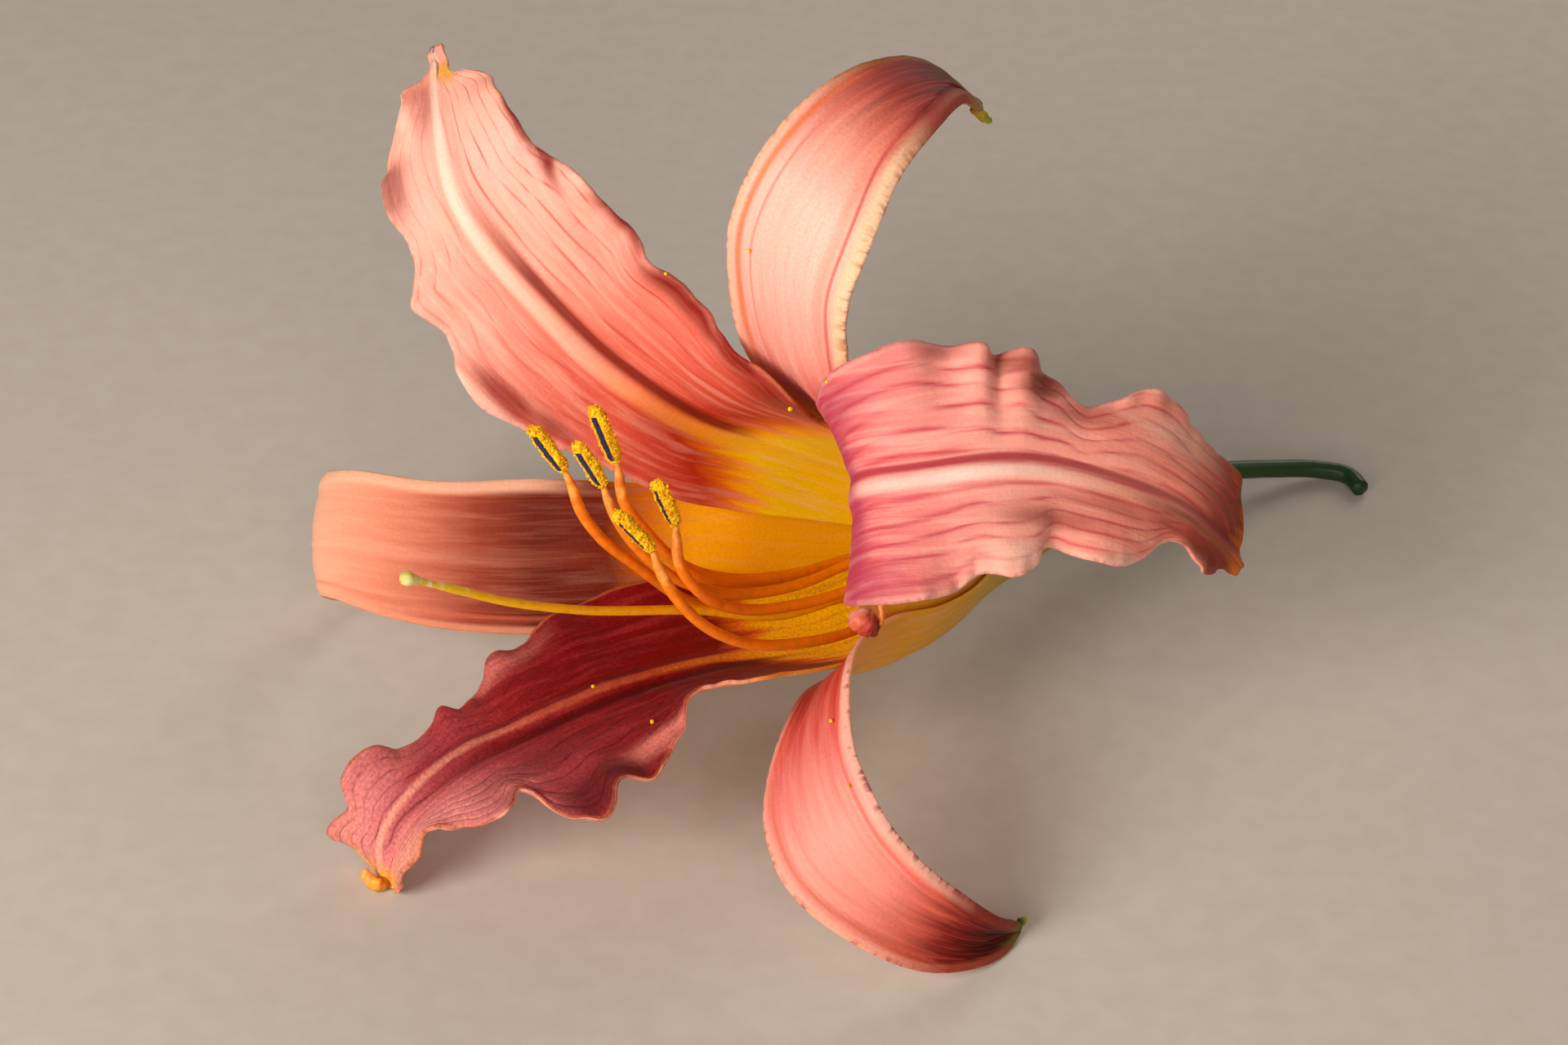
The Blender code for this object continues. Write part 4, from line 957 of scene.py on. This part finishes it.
def add_stalk(finish):
    """The stalk, with the seat of the flower at its top."""
    below = np.array([down for down, radius in STALK_NECK])
    heights = BASE_HEIGHT - below
    across, up = centre_line(np.maximum(heights, BASE_HEIGHT))
    lean = below * (SAG_AMOUNTS[1] - SAG_AMOUNTS[0]) / (SAG_HEIGHTS[1] - SAG_HEIGHTS[0])
    side = math.radians(SAG_AZIMUTH)
    neck = np.stack([across - lean * math.cos(side), up - lean * math.sin(side), heights], -1)
    far = np.array([place[:3] for place in STALK]) @ np.linalg.inv(FLOWER)
    points = np.concatenate([neck, far])
    chords = lengths_along(points)
    steps = np.append(0, np.linspace(STALK_CAP_STEP, chords[-1], STALK_RINGS))
    placed, aimed, length = along_route(points, steps / chords[-1])
    widths = np.interp(steps, chords, [place[-1] for place in STALK_NECK + STALK])
    widths = widths * np.clip((chords[-1] - steps) / STALK_END_LENGTH + STALK_END_SHARE, 0, 1)
    turns = circle(STALK_SIDES)
    ribbed = 1 + STALK_RIB_SHARE * np.cos(STALK_RIBS * turns)
    outline = np.stack([np.cos(turns) * ribbed, np.sin(turns) * ribbed], -1)
    rod("stalk", placed, aimed, widths, steps, STALK_SIDES, finish, "stalk", outline)


def add_pistil(finish):
    """The ovary in the tube, the long style and the small stigma at its end."""
    heights = np.array([height for height, radius in PISTIL_IN_TUBE], float)
    points = [list(place) for place in zip(*centre_line(heights), heights)]
    points = np.array(points + [(across, up, height) for height, across, up, radius in PISTIL_FREE])
    chords = lengths_along(points)
    stops = (0, chords[len(PISTIL_IN_TUBE) - 1], chords[-4], chords[-1])
    parts = [np.linspace(*ends, rings) for *ends, rings in zip(stops, stops[1:], PISTIL_RINGS)]
    steps = np.concatenate([parts[0], parts[1][1:], parts[2][1:]])
    placed, aimed, length = along_route(points, steps / chords[-1])
    radii = smooth(steps, chords, [place[-1] for place in PISTIL_IN_TUBE + PISTIL_FREE])
    radii = rounded_radii(radii, steps, PISTIL_ROUNDING)
    rod("pistil", placed, aimed, radii, steps, PISTIL_SIDES, finish, "pistil")


def pollen_grains(spots, radius, name, finish):
    """Small grains at these places in the room, copied from one sphere of 20 faces."""
    deselect()
    bpy.ops.mesh.primitive_ico_sphere_add(subdivisions=1, radius=1)
    grain = bpy.context.object
    corners = np.array([vertex.co for vertex in grain.data.vertices])
    faces = np.array([face.vertices for face in grain.data.polygons])
    bpy.data.objects.remove(grain)
    sizes = radius * (1 + POLLEN_UNEVEN * rough(spots, POLLEN_UNEVEN_SIZE, POLLEN_SEED))
    places = spots[:, None, :] + corners[None] * sizes[:, None, None]
    joined = faces[None] + (np.arange(len(spots)) * len(corners))[:, None, None]
    mesh = bpy.data.meshes.new(name)
    mesh.from_pydata((places.reshape(-1, 3) * MM).tolist(), [], joined.reshape(-1, 3).tolist())
    made = bpy.data.objects.new(name, mesh)
    bpy.context.scene.collection.objects.link(made)
    own_values(made, "place", *np.zeros((3, len(mesh.vertices))))
    mesh.materials.append(finish)
    mesh.shade_smooth()
    return made


def anther_ends(stamen):
    """The two ends of a stamen's anther in the flower's frame."""
    return [np.array([x, y, height]) for height, x, y in stamen["anther"]]


def add_filament(name, stamen, finish):
    """A filament from its foot in the tube to just inside its anther, a little thicker beyond the throat."""
    foot = math.radians(stamen["foot"])
    across, up = centre_line(np.array([FOOT_HEIGHT]))
    start = (across[0] + FOOT_RADIUS * math.cos(foot), up[0] + FOOT_RADIUS * math.sin(foot), FOOT_HEIGHT)
    points = [start] + [(x, y, height) for height, x, y in stamen["route"]]
    low, high = anther_ends(stamen)
    points.append(tuple(low + FILAMENT_IN_ANTHER * unit(low - np.array(points[-1]))))
    shares = np.concatenate([np.linspace(*rings) for rings in FILAMENT_RINGS])
    placed, aimed, length = along_route(points, shares)
    radii = FILAMENT_RADII[0] + (FILAMENT_RADII[1] - FILAMENT_RADII[0]) * ease(shares, *FILAMENT_THICKENS)
    radii = radii * (1 - 0.5 * ease(shares, *FILAMENT_NARROWS))
    radii = rounded_radii(radii, shares * length, FILAMENT_ROUNDING)
    rod(name, placed, aimed, radii, shares * length, FILAMENT_SIDES, finish, name)


def add_anther(name, stamen, seed, finish, rng):
    """An anther: two lumpy rows of pollen with an open slit between them, dusted with loose grains."""
    low, high = anther_ends(stamen)
    turns = circle(ANTHER_SIDES)
    steps = np.linspace(0, 1, ANTHER_RINGS + 1)
    body = low + (high - low) * steps[:, None]
    aims = np.repeat([unit(high - low)], ANTHER_RINGS + 1, axis=0)
    widths = np.sqrt(np.clip(1 - np.abs(2 * steps - 1) ** ANTHER_BLUNTNESS, 0, 1))
    outline = np.stack([ANTHER_HALF_WIDTH * np.cos(turns), ANTHER_HALF_DEPTH * np.sin(turns)], -1)
    places = rod_places(body, aims, widths, ANTHER_SIDES, outline)
    spokes = unit(places[ANTHER_RINGS // 2, :-1] - body[ANTHER_RINGS // 2])
    facing = np.argmax(spokes @ (FLOWER @ np.array(SLIT_FACING)))
    slit_at = turns[facing] + math.radians(stamen.get("slit", 0))
    away = np.abs((turns - slit_at + math.pi) % (2 * math.pi) - math.pi)
    narrow = math.radians(SLIT_HALF_ANGLE)
    open_along = ease(steps, *SLIT_OPENS) * ease(steps, *SLIT_CLOSES)
    inside = ease(away, *[narrow * share for share in SLIT_RIM])[None, :] * open_along[:, None]
    middle = body[:, None, :]
    lumps = sum(rough(places, size, seed + more) * share
                for (size, share), more in ((COARSE_LUMPS, 0), (FINE_LUMPS, 7)))
    places = middle + (places - middle) * (1 - SLIT_DEPTH * inside + lumps * (1 - inside))[..., None]
    made = moulded_grid(name + "_fine", ANTHER_SIDES, ANTHER_RINGS, in_room(places))
    own_values(made, "place", inside, steps[:, None] + 0 * inside, 0 * inside)
    close_up(made, finish)
    rows = rng.integers(1, ANTHER_RINGS, POLLEN_ON_ANTHER * 2)
    columns = rng.integers(0, ANTHER_SIDES, POLLEN_ON_ANTHER * 2)
    dusty = inside[rows, columns] < DUSTY_BELOW
    spots = places[rows, columns][dusty][:POLLEN_ON_ANTHER]
    spots = spots + rng.normal(0, POLLEN_SCATTER, spots.shape)
    grains = pollen_grains(in_room(spots), POLLEN_RADIUS, name + "_grains", finish)
    deselect()
    grains.select_set(True)
    made.select_set(True)
    bpy.context.view_layer.objects.active = made
    bpy.ops.object.join()
    belongs(made, name)


def add_lamp(name, place, size, watts, colour):
    """A round soft lamp aimed at the flower."""
    lamp = bpy.data.lights.new(name, "AREA")
    lamp.shape = "DISK"
    lamp.size = size
    lamp.energy = watts
    lamp.color = linear(colour)[:3]
    made = bpy.data.objects.new(name, lamp)
    made.location = place
    made.rotation_euler = (Vector(LAMP_AIM) - Vector(place)).to_track_quat("-Z", "Y").to_euler()
    bpy.context.scene.collection.objects.link(made)


# Fresh petal skin is thin and full of water: light glows in it, and veins and a pale midrib show. The throat
# is yellow behind a red eye zone. On the upper left petal the groove's band and the dark patches are painted
# shade, and the pale patches painted highlights.
petal_inside = blade_finish(
    "fresh salmon petal, inner skin",
    ramp=[(0.0, "#FFD400"), (0.34, "#FFDC00"), (0.38, "#FFB000"), (0.41, "#E4700C"), (0.445, "#BC3010"),
          (0.51, "#DC5840"), (0.58, "#E26A56"), (0.66, "#EE8874"), (0.77, "#F8A896"), (0.88, "#FCBAAA"),
          (1.0, "#FBA48C")],
    rib=[(0.36, "#FFC818"), (0.44, "#FFA82C"), (0.51, "#FF9858"), (0.6, "#FFB498"), (0.8, "#FFDCC8")],
    edges=((0.8, 0.4, "#E8A088", "#E8A088"), (0.8, 0.5, "#F2B09C", "#F2B09C")),
    streak="#FFC4AC", vein="#C84A3C", fleck="#8C3A28", tip="#E8A090",
    groove=(-2.1, 1.5, (0.7, 0.82), "#801C04"), side_shifts=(0.05, 0.05), veins=(0.8, 0.45), rib_width=1.7,
    reach=0.03,
)
# Deep maroon skin holds more colour, so it glows less. Its maroon is partly the petal's own colour and partly
# painted shade, where it lies shaded under the blades above it. Its stronger speckle of cells and pink
# streaks are partly painted glints, its groove's band and dark colour painted shade, its pale colour painted
# highlights.
petal_dark_inside = blade_finish(
    "deep maroon petal with painted shade, inner skin",
    ramp=[(0.0, "#FFD800"), (0.35, "#FFCC00"), (0.39, "#E06C08"), (0.43, "#7C0804"), (0.6, "#6E0406"),
          (0.72, "#84181C"), (0.82, "#A43C42"), (0.92, "#D87E7C"), (1.0, "#E8967E")],
    rib=[(0.38, "#FFB418"), (0.46, "#E0801C"), (0.56, "#B84A24"), (0.7, "#B8523C"), (0.86, "#DC8A78"),
         (1.0, "#F4AC94")],
    edges=((0.5, 0.5, "#C86838", "#B85A40"), (0.5, 0.5, "#D07040", "#D07050")),
    streak="#AC3430", vein="#5C0808", fleck="#5A1410", tip="#E8A040", dark="#440202", pale="#F08C80",
    groove=(2.0, 1.2, (0.7, 0.9), "#500202"), side_shifts=(0.0, 0.09), veins=(0.6, 0.7), rib_width=1.0,
    mottle=0.35, speckled=0.35, glow=0.12, shine=0.15,
)
# Rose skin curls over backwards, so its far end is dry and brown, and its wide veins stand out in rose. Its
# groove's band and dark colour are painted shade, and the pale patches painted highlights.
petal_rose_inside = blade_finish(
    "rose petal, inner skin",
    ramp=[(0.0, "#FFDC00"), (0.37, "#FFC800"), (0.4, "#E07028"), (0.435, "#B03048"), (0.49, "#C8485C"),
          (0.55, "#EC8480"), (0.66, "#FCA898"), (0.76, "#F89A88"), (0.87, "#EE8C78"), (0.93, "#A0442C"),
          (1.0, "#702408")],
    rib=[(0.42, "#F8A498"), (0.5, "#FFB8A8"), (0.62, "#FFDCD0"), (0.8, "#F4A890"), (0.95, "#A85A38")],
    edges=((0.9, 0.5, "#F4BCA8", "#A04838"), (0.9, 0.45, "#F0B0A0", "#8C3C2C")),
    streak="#FFBCAE", vein="#C84654", fleck="#8A3444", tip="#D8701C", dark="#8C2C1C", tinge="#A43458",
    groove=(1.5, 0.8, (0.7, 1.0), "#B83C48"), veins=(0.8, 0.9), vein_width=0.3, rib_width=1.2, reach=0.0,
    mottle=0.4, speckled=0.06, tip_dark=0.95,
)
# The outer skin of petals is duller and yellower, with fainter veins.
petal_outside = blade_finish(
    "petal, outer skin",
    ramp=[(0.0, "#C8A41C"), (0.3, "#F0AC10"), (0.45, "#F09C2C"), (0.6, "#E88468"), (0.8, "#E87C6C"),
          (1.0, "#E68474")],
    rib=[(0.4, "#D8B060"), (1.0, "#D8A070")],
    edges=((0.8, 0.5, "#F0B39C", "#F0B39C"), (0.8, 0.5, "#F0B39C", "#F0B39C")),
    streak="#F2A890", vein="#C45A4A", fleck="#8A3A34", tip="#C8A04A", wobble=0.03,
)
# Sepals are smoother and thicker than petals: faint veins, a soft shine, cream margins flecked with brown at
# the very edge, and on two of them a dry maroon tip.
upper_sepal_inside = blade_finish(
    "pale salmon sepal, broad cream margin on one side",
    ramp=[(0.0, "#FFD800"), (0.34, "#FFC800"), (0.38, "#E87420"), (0.43, "#DC4C38"), (0.5, "#F49A8C"),
          (0.6, "#FCB6A8"), (0.72, "#FFC4B4"), (0.78, "#F89E8C"), (0.83, "#D46A5A"), (0.87, "#A44038"),
          (0.92, "#741C16"), (1.0, "#3C0602")],
    rib=[(0.45, "#FFB4A4"), (0.78, "#FFC0A8"), (0.86, "#8C2C1C")],
    edges=((2.4, 0.9, "#FACCA6", "#A84C40"), (1.7, 0.8, "#FBBC9C", "#A8601C")),
    lines=[(-1, 2.9, 0.35, 0.8, "#D04848"), (-1, 3.8, 1.4, 0.45, "#F08C70"), (1, 2.0, 0.8, 0.85, "#E0743C"),
           (1, 4.3, 0.4, 0.55, "#E86E60")],
    streak="#FFCCB4", vein="#F08C78", fleck="#A8602C", tip="#98882C", dark="#4C1008", tinge="#A0A030",
    veins=(0.2, 0.15), rib_strength=0.25, reach=0.0, mottle=0.15, tip_start=0.955, tip_dark=0.88,
    speckled=0.14, shine=0.2,
)
# On the lower sepal the ramp's dark red near the throat is partly painted shade, and the dark colour paints
# shade on one patch there.
lower_sepal_inside = blade_finish(
    "pale salmon sepal, narrow cream margins",
    ramp=[(0.0, "#FFD800"), (0.36, "#F09C08"), (0.42, "#A81C08"), (0.5, "#BC2A1A"), (0.56, "#D4524A"),
          (0.62, "#E88078"), (0.7, "#F09E90"), (0.78, "#EC8C7E"), (0.84, "#CC5A48"), (0.88, "#841C14"),
          (0.93, "#4C0602"), (1.0, "#380400")],
    rib=[(0.45, "#F89888"), (0.78, "#FDAC94"), (0.86, "#84241A")],
    edges=((1.3, 0.7, "#F0A890", "#B05038"), (1.5, 0.85, "#F4B8A4", "#8C3424")),
    lines=[(-1, 1.7, 0.5, 0.6, "#D86848"), (-1, 4.0, 0.4, 0.35, "#E87060"), (1, 1.8, 0.45, 0.7, "#DC5C50"),
           (1, 3.6, 0.4, 0.3, "#E87A68")],
    streak="#FFBCA4", vein="#EC8070", fleck="#94303A", tip="#5C6A14", dark="#7C0C04", tinge="#6E8A20",
    veins=(0.2, 0.15), rib_strength=0.2, reach=0.0, mottle=0.12, tip_dark=0.9, flecked=1.0, shine=0.2,
)
# The left sepal's ramp is darkest by the throat: its red brown eye zone with the shade of the petals above
# painted in.
left_sepal_inside = blade_finish(
    "pale salmon sepal, plain thin margin",
    ramp=[(0.0, "#FFD800"), (0.34, "#F4A800"), (0.39, "#C46408"), (0.43, "#6C1C00"), (0.5, "#641600"),
          (0.56, "#903820"), (0.62, "#C46A50"), (0.68, "#E69074"), (0.76, "#F8B090"), (1.0, "#EC9078")],
    rib=[(0.45, "#9C3418"), (0.65, "#F8B498")],
    edges=((1.9, 0.75, "#F4BC9C", "#F4BC9C"), (1.1, 0.5, "#ECA07C", "#ECA07C")),
    lines=[(1, 1.8, 0.5, 0.4, "#D87050")],
    streak="#F8B898", vein="#D87454", fleck="#E0A078", tip="#C87850", veins=(0.1, 0.15), rib_strength=0.2,
    reach=0.0, wobble=0.008, mottle=0.08, flecked=0.25, shine=0.12,
)
# The outer skin of sepals is duller, and turns green brown at the tip.
sepal_outside = blade_finish(
    "sepal, outer skin",
    ramp=[(0.0, "#B8A020"), (0.3, "#F0A810"), (0.45, "#F09C30"), (0.6, "#EE9878"), (0.86, "#E88C70"),
          (1.0, "#8A7A2A")],
    rib=[(0.4, "#D2A860"), (1.0, "#C0A050")],
    edges=((1.6, 0.6, "#F4B8A0", "#B06848"), (1.6, 0.6, "#F4B8A0", "#B06848")),
    streak="#F6B79C", vein="#C87A50", fleck="#B0703A", tip="#6E7A1E", veins=(0.4, 0.4), wobble=0.03,
    tip_dark=0.88,
)
# The tube is firm and fleshy, green where it joins the stalk and yellow where the blades leave it.
tube_skin = plain_finish("yellow green flower tube", [(0, "#8C9A34"), (0.6, "#B8A838"), (1, "#D0A83A")],
                         ends=(-67.0, -46.0))
# A stalk's skin is opaque, with a thin wax that gives a low shine.
stalk_skin = plain_finish("waxy green stalk", [(0, "#5E7A2A"), (0.12, "#33561F"), (1, "#1F3F1A")],
                          roughness=0.42, glow=0.1)
# Style and filaments are slim and full of water, so light glows deep in them, and their shine is small.
pistil_skin = plain_finish(
    "smooth style with a moist stigma",
    [(0, "#C8B84A"), (0.3, "#FFB408"), (0.6, "#FFB008"), (0.85, "#FFB408"), (0.95, "#E0B810"),
     (1.0, "#DCD890")],
    roughness=0.4, glow=0.35, shine=0.25)
filament_skin = plain_finish(
    "smooth orange filament",
    [(0, "#F4B808"), (0.45, "#EC9404"), (0.75, "#E4740A"), (0.93, "#EC7C10"), (1.0, "#F4A448")],
    roughness=0.42, glow=0.35, shine=0.25)
pollen_skin = anther_finish()

add_blade("petal_upper_left", [petal_outside, petal_inside], 11.0)
add_blade("petal_right", [petal_outside, petal_rose_inside], 23.0)
add_blade("petal_lower_left", [petal_outside, petal_dark_inside], 37.0)
add_blade("sepal_upper", [sepal_outside, upper_sepal_inside], 41.0)
add_blade("sepal_lower", [sepal_outside, lower_sepal_inside], 53.0)
add_blade("sepal_left", [sepal_outside, left_sepal_inside], 61.0)
add_tube(tube_skin)
add_stalk(stalk_skin)
add_pistil(pistil_skin)
rng = np.random.default_rng(5)
for number, stamen in enumerate(STAMENS, 1):
    add_filament(f"filament_{number}", stamen, filament_skin)
    add_anther(f"anther_{number}", stamen, number, pollen_skin, rng)

# Where thin skin rolls up it is denser, so it is stronger in colour, with a soft shine.
for name, (places, stops) in CURLS.items():
    add_curl(name, places, plain_finish("rolled skin of " + name, stops, roughness=0.45))
belongs(pollen_grains(np.array(POLLEN_DOTS), FALLEN_POLLEN_RADIUS, "scattered_pollen", pollen_skin))

deselect()
bpy.ops.mesh.primitive_plane_add(size=6, location=(0, 0, 0))
board = bpy.context.object
board.name = "board"
board.data.materials.append(floor_finish())

add_lamp("window", (-0.45, -0.5, 0.35), 0.4, 5.5, "#FFF6EC")
add_lamp("front", (0.1, -0.8, 0.45), 0.5, 2.1, "#FFF2E4")
add_lamp("back", (0.4, 0.7, 0.5), 0.6, 2.4, "#FFF4EA")

world = bpy.data.worlds.new("soft room")
bpy.context.scene.world = world
world.use_nodes = True
world.node_tree.nodes["Background"].inputs["Color"].default_value = linear("#EDE6DE")
world.node_tree.nodes["Background"].inputs["Strength"].default_value = 0.12
bpy.context.scene.view_settings.view_transform = "Standard"

lens = bpy.data.cameras.new("camera")
lens.sensor_width = 36
lens.lens = 90.3
lens.clip_start = 0.01
camera = bpy.data.objects.new("camera", lens)
camera.location = (-0.00919, -0.37771, 0.29246)
camera.rotation_euler = (math.radians(55), 0, 0)
bpy.context.scene.collection.objects.link(camera)
bpy.context.scene.camera = camera
